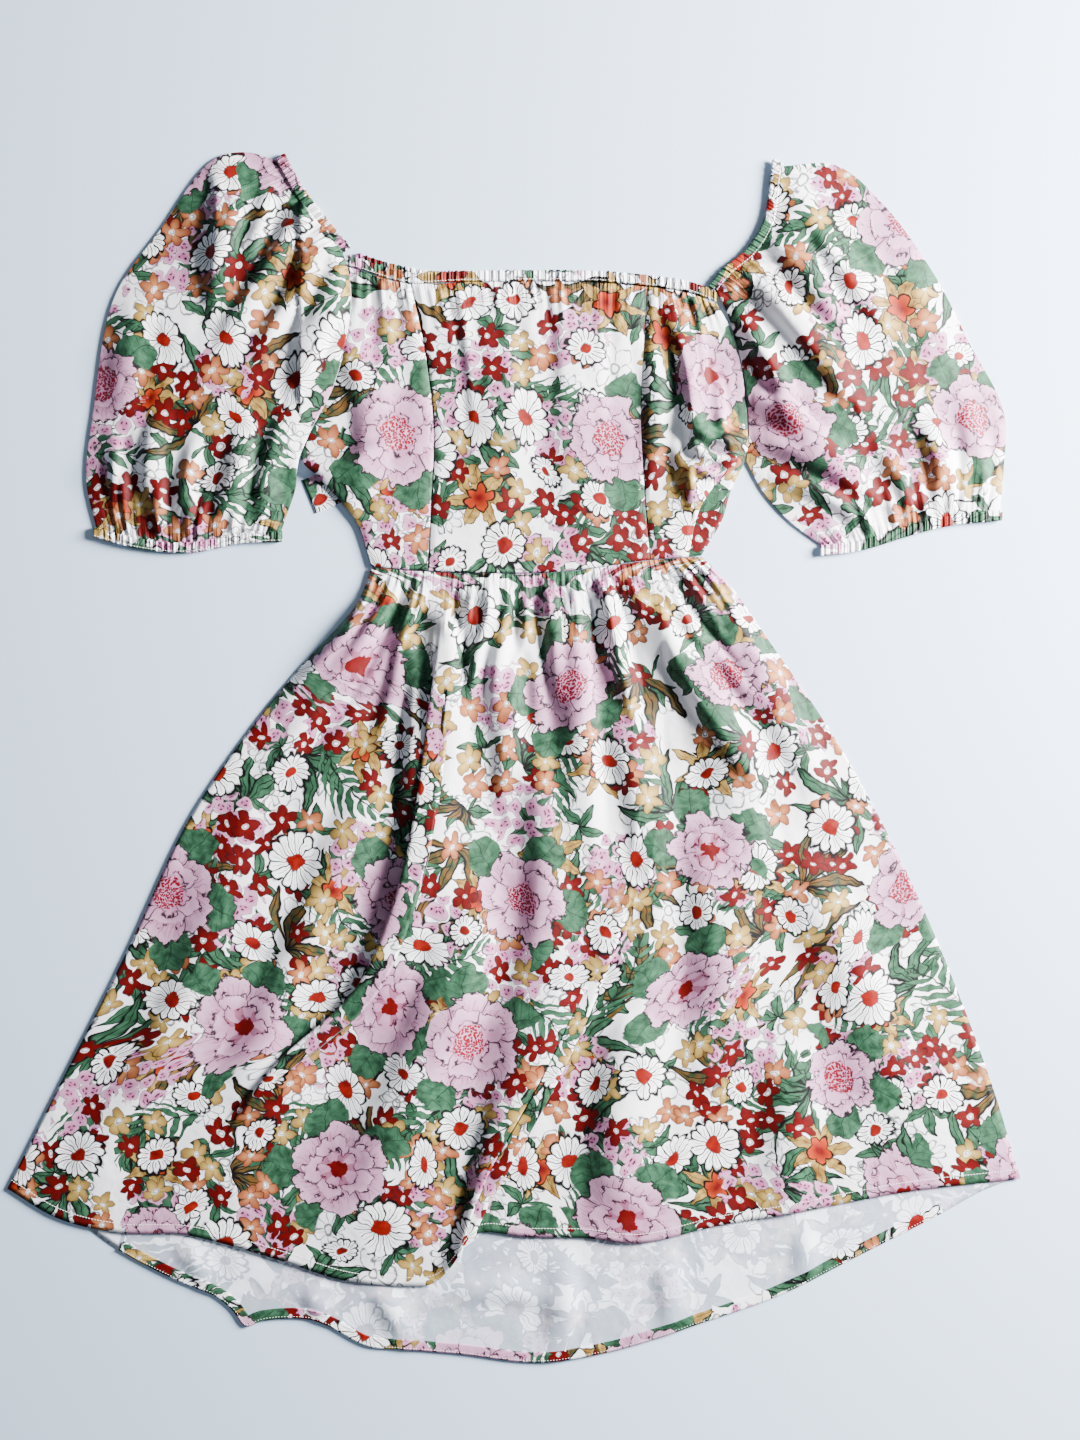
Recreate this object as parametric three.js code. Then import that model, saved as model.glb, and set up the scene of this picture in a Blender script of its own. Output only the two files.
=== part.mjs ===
// A short-sleeved dress of light printed cloth with elastic at the neckline and sleeve hems, laid flat
// on its back. Millimetres: X runs to the right, Y towards the neckline and Z up from the surface.
import * as THREE from "three";

// Cloth and seams
const CLOTH = 1.2; // wall of a cloth panel
const CASING = 2; // cloth folded round elastic
const GAP = 0.3; // air between pieces at a seam
const LAYER = CLOTH + GAP; // from one flat layer to the next
const CASING_DEPTH = 10.5; // across an elastic casing
const HEM_DEPTH = 9; // across the turned-up back hem
const TIE_WIDTH = 36;
const SEAM = 0.7; // distance between the edges of two panels that are sewn together
const CASING_SEAM = 1.4; // distance between a panel and the lower edge of its casing

// The dress is measured in millimetres from a corner of the surface: "across" to the right, "down"
// towards the hem. This point of it is the origin, under the middle of the dress.
const MIDDLE = { across: 513, down: 755 };

// Heights of the middle of each wall above the surface
const BACK_Z = CLOTH / 2;
const FRONT_Z = BACK_Z + LAYER;
const RIPPLE = 0.35; // each way, across a casing
const BACK_CASING_Z = CASING / 2 + 2 * RIPPLE;
const FRONT_CASING_Z = BACK_CASING_Z + CASING + GAP + 3 * RIPPLE;
const TIE_LIFT = LAYER; // the bodice rides over the ties
const TIE_LIFT_DOWN = { starts: 390, full: 420, ends: 566, gone: 612 };
const OVER_BODICE = 6.9; // the left sleeve rides over the edge of the bodice

// Gathers and puffs: numbers of waves and heights of the upper layer's swell
const WAIST_GATHERS = 30;
const WAIST_GATHER_HIGH = 2.4;
const GATHER_REACH = 0.16; // share of the skirt's length
const NECK_GATHER_HIGH = 1.7;
const NECK_GATHER_REACH = 0.3; // share of the bodice's length
const NECK_WAVES = 24;
const SHOULDER_WAVES = 20;
const CUFF_WAVES = 38;
const BODICE_PUFF = { edge: 1.2, middle: 1.5 };
const SKIRT_PUFF = { edge: 1.5, middle: 3 };
const SLEEVE_PUFF = 9;

const COLOURS = {
  print: { color: 0xe3d3d8, roughness: 0.62, metalness: 0 },
  casing: { color: 0xdccdd2, roughness: 0.66, metalness: 0 },
  reverse: { color: 0xe9ebf0, roughness: 0.7, metalness: 0 },
};

const WAIST = [
  { across: 372, down: 567 },
  { across: 439, down: 572 },
  { across: 557, down: 572 },
  { across: 650, down: 560 },
  { across: 701, down: 556 },
];

const SKIRT_LEFT = [
  { across: 370, down: 568 },
  { across: 357, down: 604 },
  { across: 300, down: 668 },
  { across: 250, down: 730 },
  { across: 189, down: 820 },
  { across: 125, down: 956 },
  { across: 57, down: 1091 },
  { across: 8, down: 1188 },
];

const SKIRT_RIGHT = [
  { across: 703, down: 557 },
  { across: 725, down: 580 },
  { across: 768, down: 640 },
  { across: 835, down: 739 },
  { across: 895, down: 849 },
  { across: 941, down: 951 },
  { across: 990, down: 1080 },
  { across: 1020, down: 1178 },
];

const FRONT_HEM = [
  { across: 8, down: 1188 },
  { across: 60, down: 1218 },
  { across: 121, down: 1232 },
  { across: 214, down: 1240 },
  { across: 321, down: 1272 },
  { across: 400, down: 1284 },
  { across: 436, down: 1281 },
  { across: 476, down: 1234 },
  { across: 526, down: 1236 },
  { across: 640, down: 1242 },
  { across: 758, down: 1219 },
  { across: 905, down: 1191 },
  { across: 1020, down: 1178 },
];

const BACK_HEM = [
  { across: 14, down: 1188 },
  { across: 71, down: 1216 },
  { across: 118, down: 1249 },
  { across: 179, down: 1281 },
  { across: 232, down: 1309 },
  { across: 264, down: 1320 },
  { across: 314, down: 1320 },
  { across: 368, down: 1346 },
  { across: 463, down: 1354 },
  { across: 539, down: 1361 },
  { across: 661, down: 1337 },
  { across: 779, down: 1295 },
  { across: 905, down: 1234 },
  { across: 981, down: 1191 },
  { across: 1014, down: 1178 },
];

// The bodice: its elastic top edge in front and behind, the two princess seams and the sides
const NECK_FRONT = [
  { across: 347, down: 256 },
  { across: 406, down: 273 },
  { across: 470, down: 272 },
  { across: 590, down: 272 },
  { across: 640, down: 275.5 },
  { across: 690, down: 283 },
  { across: 716.5, down: 293.4 },
];

const NECK_BACK = [
  { across: 356, down: 253 },
  { across: 392, down: 264 },
  { across: 430, down: 271 },
  { across: 470, down: 272.4 },
  { across: 590, down: 272.4 },
  { across: 640, down: 275.9 },
  { across: 690, down: 283.4 },
  { across: 705, down: 288 },
];

const PRINCESS_LEFT = [
  { across: 411, down: 284.9 },
  { across: 425, down: 350 },
  { across: 434, down: 430 },
  { across: 431, down: 510 },
  { across: 428, down: 571 },
];

const PRINCESS_RIGHT = [
  { across: 647, down: 288.3 },
  { across: 644, down: 340 },
  { across: 641, down: 420 },
  { across: 645, down: 500 },
  { across: 650, down: 560 },
];

const BODICE_LEFT = [
  { across: 347, down: 267.9 },
  { across: 343, down: 310 },
  { across: 337, down: 345 },
  { across: 324, down: 390 },
  { across: 306, down: 430 },
  { across: 302, down: 460 },
  { across: 319, down: 478 },
  { across: 343, down: 504 },
  { across: 358, down: 525 },
  { across: 372, down: 567 },
];

const FRONT_RIGHT_SIDE = [
  { across: 716.5, down: 305.3 },
  { across: 730, down: 330 },
  { across: 741, down: 370 },
  { across: 747, down: 430 },
  { across: 744, down: 460 },
  { across: 718, down: 482 },
  { across: 699, down: 510 },
  { across: 688, down: 557 },
];

const BACK_RIGHT_SIDE = [
  { across: 716.5, down: 305.3 },
  { across: 730, down: 330 },
  { across: 741, down: 370 },
  { across: 747, down: 430 },
  { across: 744, down: 462 },
  { across: 731, down: 490 },
  { across: 722, down: 520 },
  { across: 701, down: 556 },
];

// The elastic edge of the neckline over each sleeve, from the bodice to the shoulder fold
const SHOULDER_LEFT = [
  { across: 351, down: 248 },
  { across: 326, down: 218 },
  { across: 305, down: 190 },
  { across: 286, down: 156 },
];

const SHOULDER_RIGHT = [
  { across: 708, down: 287.2 },
  { across: 722, down: 270 },
  { across: 745, down: 251 },
  { across: 763, down: 222 },
  { across: 772, down: 162 },
];

// Each sleeve: the elastic line at its top, the armhole below that, the folded outer edge, the short
// underarm seam and the hem, where the sleeve is sewn to its cuff. "inward" points from the elastic
// into the sleeve.
const SLEEVE_LEFT = {
  inward: { across: -0.82, down: 0.57 },
  casingSeam: 1.3,
  elastic: SHOULDER_LEFT,
  armhole: [
    { across: 352, down: 296 },
    { across: 347, down: 342 },
    { across: 334, down: 389 },
    { across: 313, down: 430 },
    { across: 298, down: 463 },
  ],
  outer: [
    { across: 245, down: 153 },
    { across: 213, down: 161 },
    { across: 161, down: 230 },
    { across: 115, down: 298 },
    { across: 94, down: 411 },
    { across: 87, down: 480 },
    { across: 97, down: 528 },
  ],
  underarm: [
    { across: 298, down: 463 },
    { across: 296, down: 487 },
    { across: 288, down: 512 },
    { across: 281, down: 532 },
  ],
  hem: [
    { across: 97, down: 528 },
    { across: 140, down: 539 },
    { across: 192, down: 543 },
    { across: 240, down: 534 },
    { across: 281, down: 532 },
  ],
};

const SLEEVE_RIGHT = {
  inward: { across: 0.87, down: 0.5 },
  casingSeam: 2,
  elastic: SHOULDER_RIGHT,
  armhole: [
    { across: 723.5, down: 306 },
    { across: 732, down: 330 },
    { across: 741.7, down: 367 },
    { across: 748.4, down: 430 },
    { across: 746, down: 462 },
  ],
  outer: [
    { across: 835, down: 166 },
    { across: 880, down: 202 },
    { across: 931, down: 271 },
    { across: 970, down: 346 },
    { across: 1003, down: 412 },
    { across: 1003, down: 470 },
    { across: 999, down: 511 },
  ],
  underarm: [
    { across: 746, down: 462 },
    { across: 765, down: 495 },
    { across: 790, down: 522 },
    { across: 822, down: 546 },
  ],
  hem: [
    { across: 999, down: 511 },
    { across: 950, down: 516 },
    { across: 910, down: 526 },
    { across: 860, down: 541 },
    { across: 822, down: 546 },
  ],
};

// The free end of one tie shows at the left underarm; both ties lie under the bodice
const TIE_RIGHT = [
  { across: 690, down: 515 },
  { across: 620, down: 477 },
  { across: 520, down: 452 },
  { across: 400, down: 460 },
  { across: 309, down: 497 },
];

const TIE_LEFT = [
  { across: 374, down: 532 },
  { across: 450, down: 519 },
  { across: 560, down: 525 },
  { across: 640, down: 533 },
];

// Soft folds pressed into the upper layer: start, middle, end, breadth and height
const FOLDS = [
  { from: [372, 600], via: [345, 640], to: [296, 700], wide: 16, high: 6 },
  { from: [436, 590], via: [450, 660], to: [441, 740], wide: 15, high: 8 },
  { from: [486, 590], via: [500, 680], to: [504, 790], wide: 15, high: 7 },
  { from: [566, 590], via: [578, 700], to: [590, 880], wide: 18, high: 7 },
  { from: [640, 588], via: [690, 680], to: [764, 780], wide: 18, high: 9 },
  { from: [694, 586], via: [744, 650], to: [812, 780], wide: 16, high: 6 },
  { from: [462, 880], via: [440, 1000], to: [376, 1130], wide: 30, high: 6 },
  { from: [574, 880], via: [540, 1010], to: [480, 1150], wide: 28, high: 6 },
  { from: [690, 820], via: [716, 950], to: [700, 1140], wide: 30, high: 6 },
  { from: [800, 850], via: [850, 960], to: [896, 1110], wide: 28, high: 6 },
  { from: [260, 850], via: [206, 970], to: [150, 1100], wide: 28, high: 5 },
  { from: [214, 190], via: [216, 240], to: [212, 300], wide: 16, high: 6 },
  { from: [300, 214], via: [276, 262], to: [230, 330], wide: 14, high: 6 },
  { from: [330, 268], via: [330, 310], to: [300, 380], wide: 13, high: 5 },
  { from: [170, 420], via: [160, 470], to: [150, 520], wide: 16, high: 5 },
  { from: [240, 440], via: [240, 480], to: [226, 525], wide: 14, high: 5 },
  { from: [790, 190], via: [826, 250], to: [880, 330], wide: 16, high: 6 },
  { from: [752, 286], via: [796, 330], to: [840, 400], wide: 16, high: 7 },
  { from: [760, 420], via: [800, 440], to: [850, 500], wide: 15, high: 6 },
  { from: [930, 420], via: [940, 460], to: [936, 505], wide: 16, high: 5 },
  { from: [672, 330], via: [690, 400], to: [693, 500], wide: 12, high: 6 },
  { from: [470, 320], via: [500, 400], to: [490, 520], wide: 26, high: 3 },
  { from: [590, 320], via: [580, 420], to: [590, 530], wide: 26, high: 3 },
];

// Two places where the skirt front folds over itself: the line of the fold, which side lies on top, how
// far the layers overlap and how far down the fold opens
const OVERLAPS = [
  {
    line: [
      { across: 438, down: 600 },
      { across: 432, down: 690 },
      { across: 414, down: 827 },
      { across: 396, down: 899 },
      { across: 357, down: 988 },
      { across: 276, down: 1062 },
      { across: 221, down: 1131 },
    ],
    onTop: "right",
    deep: 13,
    opens: [0.12, 0.3],
    closes: [0.68, 0.86],
  },
  {
    line: [
      { across: 650, down: 600 },
      { across: 652, down: 760 },
      { across: 632, down: 900 },
      { across: 588, down: 1013 },
      { across: 545, down: 1100 },
      { across: 500, down: 1180 },
      { across: 470, down: 1240 },
    ],
    onTop: "left",
    deep: 11,
    opens: [0.55, 0.75],
    closes: [1.2, 1.3],
  },
];

// How the upper layer of an overlap runs: out under the fold, back over itself and out again.
// "reach" is a share of the overlap, "aside" and "rise" are millimetres.
const OVERLAP_SECTION = [
  { reach: 0, aside: -8, rise: 0 },
  { reach: 1, aside: -2, rise: 0 },
  { reach: 1, aside: 0.4, rise: 1.2 },
  { reach: 1, aside: -1.6, rise: 2.6 },
  { reach: 0, aside: 2, rise: 3 },
  { reach: 0, aside: -0.6, rise: 4.3 },
  { reach: 0, aside: 1.4, rise: 5.9 },
  { reach: 1, aside: 4, rise: 6.2 },
];

const group = new THREE.Group();
group.name = "tie_back_dress";

function place(point, z = 0) {
  return new THREE.Vector3(point.across - MIDDLE.across, MIDDLE.down - point.down, z);
}

function curve(points) {
  return new THREE.CatmullRomCurve3(points.map((point) => place(point)), false, "centripetal");
}

function fade(from, to, value) {
  return THREE.MathUtils.smoothstep(value, from, to);
}

// The lift of the bodice over the ties, gone a little below the waist and above the underarm
function tieLift(y) {
  const down = MIDDLE.down - y;
  const { starts, full, ends, gone } = TIE_LIFT_DOWN;
  return TIE_LIFT * fade(starts, full, down) * (1 - fade(ends, gone, down));
}

const foldLines = FOLDS.map((fold) => {
  const [from, via, to] = [fold.from, fold.via, fold.to].map(([across, down]) => place({ across, down }));
  const bend = via.clone().multiplyScalar(2).addScaledVector(from, -0.5).addScaledVector(to, -0.5);
  return { ...fold, line: new THREE.QuadraticBezierCurve3(from, bend, to).getPoints(12) };
});

// How far the soft folds raise the cloth at a point: each is a rounded ridge that dies away at its ends
function relief(x, y) {
  let height = 0;
  for (const fold of foldLines) {
    let nearest = Infinity;
    let along = 0;
    fold.line.forEach((point, index) => {
      const distance = Math.hypot(point.x - x, point.y - y);
      if (distance < nearest) {
        nearest = distance;
        along = index / (fold.line.length - 1);
      }
    });
    const side = Math.max(0, 1 - (nearest / fold.wide / 1.6) ** 2);
    height += fold.high * side * side * Math.sin(Math.PI * Math.min(1, Math.max(0, 0.08 + along * 0.84)));
  }
  return height;
}

// A point of a panel between its four edges
function patch(edges, u, v) {
  const { top, bottom, left, right } = edges;
  const point = top.getPointAt(u).multiplyScalar(1 - v).addScaledVector(bottom.getPointAt(u), v);
  point.addScaledVector(left.getPointAt(v), 1 - u).addScaledVector(right.getPointAt(v), u);
  point.addScaledVector(top.getPointAt(0), -(1 - u) * (1 - v));
  point.addScaledVector(top.getPointAt(1), -u * (1 - v));
  point.addScaledVector(bottom.getPointAt(0), -(1 - u) * v);
  return point.addScaledVector(bottom.getPointAt(1), -u * v);
}

function share(index, count) {
  return index / (count - 1);
}

// Triangles between two rows. Points of rows with equal counts pair up; between other rows each
// triangle takes the shorter way across.
function zip(first, second, starts, triangles) {
  const [lastFirst, lastSecond] = [first.length - 1, second.length - 1];
  let a = 0;
  let b = 0;
  const shorter = () => first[a + 1].distanceTo(second[b]) <= first[a].distanceTo(second[b + 1]);
  while (a < lastFirst || b < lastSecond) {
    const free = a < lastFirst && b < lastSecond;
    const stepFirst = free ? (lastFirst === lastSecond ? a <= b : shorter()) : a < lastFirst;
    if (stepFirst) {
      triangles.push([starts[0] + a, starts[1] + b, starts[0] + a + 1]);
      a += 1;
    } else {
      triangles.push([starts[0] + a, starts[1] + b, starts[1] + b + 1]);
      b += 1;
    }
  }
}

// One closed wall of cloth, made from rows of points on the middle of the cloth. In a tube each row is
// a ring, whose last point joins its first.
function clothWall(name, rows, thickness, finish, tube = false) {
  const middle = rows.flat();
  const triangles = [];
  let start = 0;
  for (let row = 0; row < rows.length - 1; row += 1) {
    const starts = [start, start + rows[row].length];
    zip(rows[row], rows[row + 1], starts, triangles);
    if (tube) {
      const [first, second] = [rows[row].length, rows[row + 1].length];
      triangles.push([starts[0] + first - 1, starts[1] + second - 1, starts[0]]);
      triangles.push([starts[0], starts[1] + second - 1, starts[1]]);
    }
    start = starts[1];
  }

  const normals = middle.map(() => new THREE.Vector3());
  const edges = new Map();
  for (const [a, b, c] of triangles) {
    const side = middle[b].clone().sub(middle[a]);
    const normal = side.cross(middle[c].clone().sub(middle[a]));
    for (const corner of [a, b, c]) {
      normals[corner].add(normal);
    }
    for (const [from, to] of [[a, b], [b, c], [c, a]]) {
      const back = `${to} ${from}`;
      if (!edges.delete(back)) {
        edges.set(`${from} ${to}`, [from, to]);
      }
    }
  }

  const places = [];
  for (const reach of [thickness / 2, -thickness / 2]) {
    middle.forEach((point, index) => {
      places.push(...point.clone().addScaledVector(normals[index].clone().normalize(), reach).toArray());
    });
  }
  const under = middle.length;
  const faces = triangles.flatMap(([a, b, c]) => [a, b, c, a + under, c + under, b + under]);
  for (const [from, to] of edges.values()) {
    faces.push(to, from, from + under, to, from + under, to + under);
  }
  const geometry = new THREE.BufferGeometry();
  geometry.setAttribute("position", new THREE.Float32BufferAttribute(places, 3));
  geometry.setIndex(faces);
  geometry.computeVertexNormals();
  const mesh = new THREE.Mesh(geometry, new THREE.MeshStandardMaterial(COLOURS[finish]));
  mesh.name = name;
  group.add(mesh);
}

// Gathers along an edge: rounded ripples, high at the edge and gone at "reach" from it
function gathers(u, waves, high, distance, reach) {
  const ripple = 0.5 - 0.5 * Math.cos(2 * Math.PI * waves * u);
  return high * ripple * (1 - fade(0, reach, distance));
}

// A flat-lying panel between four edges, with its own height function
function panel(name, edges, counts, height, finish = "print") {
  const rows = [];
  for (let row = 0; row < counts.length; row += 1) {
    const v = share(row, counts.length);
    const points = [];
    for (let column = 0; column < counts[row]; column += 1) {
      const u = share(column, counts[row]);
      const point = patch(edges, u, v);
      point.z = height(point, u, v);
      points.push(point);
    }
    rows.push(points);
  }
  clothWall(name, rows, CLOTH, finish);
}

function countRows(rows, columns, fineRows = 0, fineColumns = columns) {
  return Array.from({ length: rows }, (_, row) => (row < fineRows ? fineColumns : columns));
}

// Bodice front: three panels between the neckline, the princess seams and the waist. A seam's two edges
// lie either side of its line.
function aside(points, move) {
  return points.map((point) => ({ across: point.across + move, down: point.down }));
}

function between(points, from, to) {
  const whole = curve(points);
  const steps = 12;
  return new THREE.CatmullRomCurve3(
    Array.from({ length: steps + 1 }, (_, step) => whole.getPointAt(from + ((to - from) * step) / steps)),
  );
}

function shareAt(points, x) {
  const whole = curve(points);
  let best = 0;
  for (let step = 0; step <= 200; step += 1) {
    if (Math.abs(whole.getPointAt(step / 200).x - x) < Math.abs(whole.getPointAt(best).x - x)) {
      best = step / 200;
    }
  }
  return best;
}

function frontHeight(point, puff) {
  return FRONT_Z + tieLift(point.y) + puff + relief(point.x, point.y);
}

const NECKLINE = NECK_FRONT.map(({ across, down }) => ({ across, down: down + CASING_DEPTH + CASING_SEAM }));

const BODICE_ROWS = { all: 14, gathered: 4 };

function bodicePanel(name, left, right, columns, waves) {
  const leftCurve = curve(left);
  const rightCurve = curve(right);
  const [neckFrom, neckTo] = [leftCurve, rightCurve].map((side) => shareAt(NECKLINE, side.getPointAt(0).x));
  const [waistFrom, waistTo] = [leftCurve, rightCurve].map((side) => shareAt(WAIST, side.getPointAt(1).x));
  const edges = {
    top: between(NECKLINE, neckFrom, neckTo),
    bottom: between(WAIST, waistFrom, waistTo),
    left: leftCurve,
    right: rightCurve,
  };
  const counts = countRows(BODICE_ROWS.all, columns, BODICE_ROWS.gathered, waves * 2 + 1);
  panel(name, edges, counts, (point, u, v) => {
    const rim = Math.sin(Math.PI * u) ** 0.5 * Math.sin(Math.PI * Math.min(1, v + 0.06)) ** 0.5;
    const swell = BODICE_PUFF.edge + BODICE_PUFF.middle * rim;
    const puff = swell + gathers(u, waves, NECK_GATHER_HIGH, v, NECK_GATHER_REACH);
    return frontHeight(point, puff);
  });
}

const NECK_GATHERS = { side: 5, centre: 13 };
bodicePanel("bodice_front_left", BODICE_LEFT, aside(PRINCESS_LEFT, -SEAM / 2), 8, NECK_GATHERS.side);
bodicePanel(
  "bodice_front_centre",
  aside(PRINCESS_LEFT, SEAM / 2),
  aside(PRINCESS_RIGHT, -SEAM / 2),
  15,
  NECK_GATHERS.centre,
);
bodicePanel("bodice_front_right", aside(PRINCESS_RIGHT, SEAM / 2), FRONT_RIGHT_SIDE, 8, NECK_GATHERS.side);

const bodiceBack = {
  top: curve(NECKLINE),
  bottom: curve(WAIST),
  left: curve(BODICE_LEFT),
  right: curve(BACK_RIGHT_SIDE),
};
panel("bodice_back", bodiceBack, countRows(15, 13), (point) => BACK_Z + tieLift(point.y));

// Skirt back: flat on the surface and a little narrower than the front; its wrong side shows below the
// front hem
const BACK_INSET = 4;
const skirtBack = {
  top: curve(WAIST.map(({ across, down }) => ({ across, down: down + SEAM }))),
  bottom: curve(BACK_HEM),
  left: curve(SKIRT_LEFT.map(({ across, down }) => ({ across: across + BACK_INSET, down: down + SEAM }))),
  right: curve(SKIRT_RIGHT.map(({ across, down }) => ({ across: across - BACK_INSET, down: down + SEAM }))),
};
skirtBack.left.points[skirtBack.left.points.length - 1].copy(place(BACK_HEM[0]));
skirtBack.right.points[skirtBack.right.points.length - 1].copy(place(BACK_HEM.at(-1)));
panel("skirt_back", skirtBack, countRows(16, 25), (point) => BACK_Z + tieLift(point.y), "reverse");

// The turned-up hem strip lies on the wrong side of the back skirt, print side up
const hemEdge = curve(BACK_HEM);
const HEM_COLUMNS = 56;
const HEM_SHOWS = { from: 0.112, to: 0.927 }; // shares of the hem that the front leaves clear
const hemRows = [GAP, HEM_DEPTH].map((depth) => {
  const points = [];
  for (let column = 0; column < HEM_COLUMNS; column += 1) {
    const at = THREE.MathUtils.lerp(HEM_SHOWS.from, HEM_SHOWS.to, share(column, HEM_COLUMNS));
    const along = hemEdge.getTangentAt(at);
    const point = hemEdge.getPointAt(at);
    points.push(new THREE.Vector3(point.x - along.y * depth, point.y + along.x * depth, FRONT_Z));
  }
  return points;
});
clothWall("hem_turning_back", hemRows.reverse(), CLOTH, "print");

// Skirt front: gathered at the waist and folded over itself in two places
const skirtFront = {
  top: curve(WAIST.map(({ across, down }) => ({ across, down: down + SEAM }))),
  bottom: curve(FRONT_HEM),
  left: curve(SKIRT_LEFT),
  right: curve(SKIRT_RIGHT),
};
skirtFront.left.points[0].copy(skirtFront.top.points[0]);
skirtFront.right.points[0].copy(skirtFront.top.points.at(-1));

const SKIRT_ROWS = 26;
const GATHER_ROWS = 5;
const SKIRT_PARTS = { plain: [9, 8, 10], gathered: [16, 26, 16] };

const overlapLines = OVERLAPS.map((overlap) => curve(overlap.line).getSpacedPoints(120));
const OVERLAP_CLEAR = 14; // clear of the line of an overlap each way, where its own points begin
const OVERLAP_SPREAD = 20; // from its first point to its last where it lies flat

// Where the line of an overlap crosses a row of the skirt, as a share of the row
function crossing(line, v) {
  let best = { distance: Infinity, u: 0 };
  for (let step = 0; step <= 160; step += 1) {
    const u = step / 160;
    const point = patch(skirtFront, u, v);
    for (const place of line) {
      const distance = Math.hypot(place.x - point.x, place.y - point.y);
      if (distance < best.distance) {
        best = { distance, u };
      }
    }
  }
  return best.u;
}

function skirtHeight(point, u, v) {
  const rim = Math.sin(Math.PI * Math.min(1, Math.max(0, u))) ** 0.5;
  const swell = SKIRT_PUFF.middle * fade(0, 0.25, v) * (1 - fade(0.8, 1, v));
  const puff = (SKIRT_PUFF.edge + swell) * rim;
  return frontHeight(point, puff + gathers(u, WAIST_GATHERS, WAIST_GATHER_HIGH, v, GATHER_REACH));
}

function skirtRow(v, parts) {
  const crossings = overlapLines.map((line) => crossing(line, v));
  const bounds = [0, ...crossings, 1];
  const points = [];
  const width = patch(skirtFront, 1, v).distanceTo(patch(skirtFront, 0, v));
  parts.forEach((count, part) => {
    const clear = OVERLAP_CLEAR / width;
    const from = bounds[part] + (part > 0 ? clear : 0);
    const to = bounds[part + 1] - (part < parts.length - 1 ? clear : 0);
    for (let column = 0; column < count; column += 1) {
      const u = from + (to - from) * share(column, count);
      const point = patch(skirtFront, u, v);
      point.z = skirtHeight(point, u, v);
      points.push(point);
    }
    if (part < OVERLAPS.length) {
      points.push(...overlapPoints(OVERLAPS[part], bounds[part + 1], v, width));
    }
  });
  return points;
}

// The points that carry one row through an overlap. Closed, they are evenly spread and lie flat.
function overlapPoints(overlap, u, v, width) {
  const open = fade(...overlap.opens, v) * (1 - fade(...overlap.closes, v));
  const way = overlap.onTop === "right" ? 1 : -1;
  const section = way === 1 ? OVERLAP_SECTION : OVERLAP_SECTION.toReversed();
  return section.map((step, index) => {
    const flat = (share(index, section.length) - 0.5) * OVERLAP_SPREAD;
    const folded = way * (step.reach * overlap.deep * open + step.aside);
    const move = THREE.MathUtils.lerp(flat, folded, open ** 1.5);
    const at = u + move / width;
    const point = patch(skirtFront, at, v);
    const base = patch(skirtFront, u, v);
    point.z = skirtHeight(base, at, v) + step.rise * Math.min(1, open * 1.8);
    return point;
  });
}

const skirtRows = [];
for (let row = 0; row < SKIRT_ROWS; row += 1) {
  const parts = row < GATHER_ROWS ? SKIRT_PARTS.gathered : SKIRT_PARTS.plain;
  skirtRows.push(skirtRow(share(row, SKIRT_ROWS) ** 1.15, parts));
}
clothWall("skirt_front", skirtRows, CLOTH, "print");

// Sleeves: flattened tubes. The upper layer is puffed and creased, the lower lies on the surface; the
// left one rides over the edge of the bodice.
const SLEEVE_COLUMNS = 15;
const SLEEVE_ROWS = 15;
const bodiceEdge = curve(BODICE_LEFT.slice(0, 6)).getSpacedPoints(40);

function sleeveLift(point) {
  let nearest = Infinity;
  for (const place of bodiceEdge) {
    const distance = Math.hypot(place.x - point.x, place.y - point.y);
    nearest = Math.min(nearest, place.x < point.x ? 0 : distance);
  }
  return OVER_BODICE * (1 - fade(4, 36, nearest));
}

function sleeve(name, shape, lift) {
  const inset = CASING_DEPTH + shape.casingSeam;
  const below = shape.elastic.toReversed().map(({ across, down }) => ({
    across: across + shape.inward.across * inset,
    down: down + shape.inward.down * inset,
  }));
  const edges = {
    top: curve([...below, ...shape.armhole]),
    bottom: curve(shape.hem),
    left: curve([below[0], ...shape.outer]),
    right: curve(shape.underarm),
  };
  const rows = [];
  for (let row = 0; row < SLEEVE_ROWS; row += 1) {
    const v = share(row, SLEEVE_ROWS);
    const upper = [];
    const lower = [];
    for (let column = 0; column < SLEEVE_COLUMNS; column += 1) {
      const u = 0.5 - 0.5 * Math.cos(Math.PI * share(column, SLEEVE_COLUMNS));
      const point = patch(edges, u, v);
      const under = BACK_Z + lift(point);
      const rim = Math.sin(Math.PI * u) ** 0.5;
      const puff = SLEEVE_PUFF * rim * Math.sin(Math.PI * v) ** 0.7;
      const over = under + LAYER + rim * (0.9 + puff + relief(point.x, point.y));
      upper.push(point.clone().setZ(over));
      lower.push(point.clone().setZ(under));
    }
    const outer = upper[0].clone().setZ((upper[0].z + lower[0].z) / 2);
    const inner = upper.at(-1).clone().setZ((upper.at(-1).z + lower.at(-1).z) / 2);
    rows.push([outer, ...upper.slice(1, -1), inner, ...lower.slice(1, -1).reverse()]);
  }
  clothWall(name, rows, CLOTH, "print", true);
}

// A gathered casing: a band with ripples across it, following a dense line of points in space
function casing(name, line, inward, waves, tube = false) {
  const segments = waves * 2;
  const path = new THREE.CatmullRomCurve3(line, tube, "centripetal");
  path.arcLengthDivisions = 600;
  const rows = [0, 0.5, 1].map((depth) => {
    const points = [];
    for (let step = 0; step < segments + (tube ? 0 : 1); step += 1) {
      const point = path.getPointAt(step / segments);
      const out = path.getTangentAt(step / segments).cross(inward).normalize();
      const ripple = (step % 2 ? RIPPLE : -RIPPLE) + (depth === 0.5 ? RIPPLE / 2 : 0);
      points.push(point.addScaledVector(inward, CASING_DEPTH * depth).addScaledVector(out, ripple));
    }
    return points;
  });
  clothWall(name, rows, CASING, "casing", tube);
}

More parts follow.
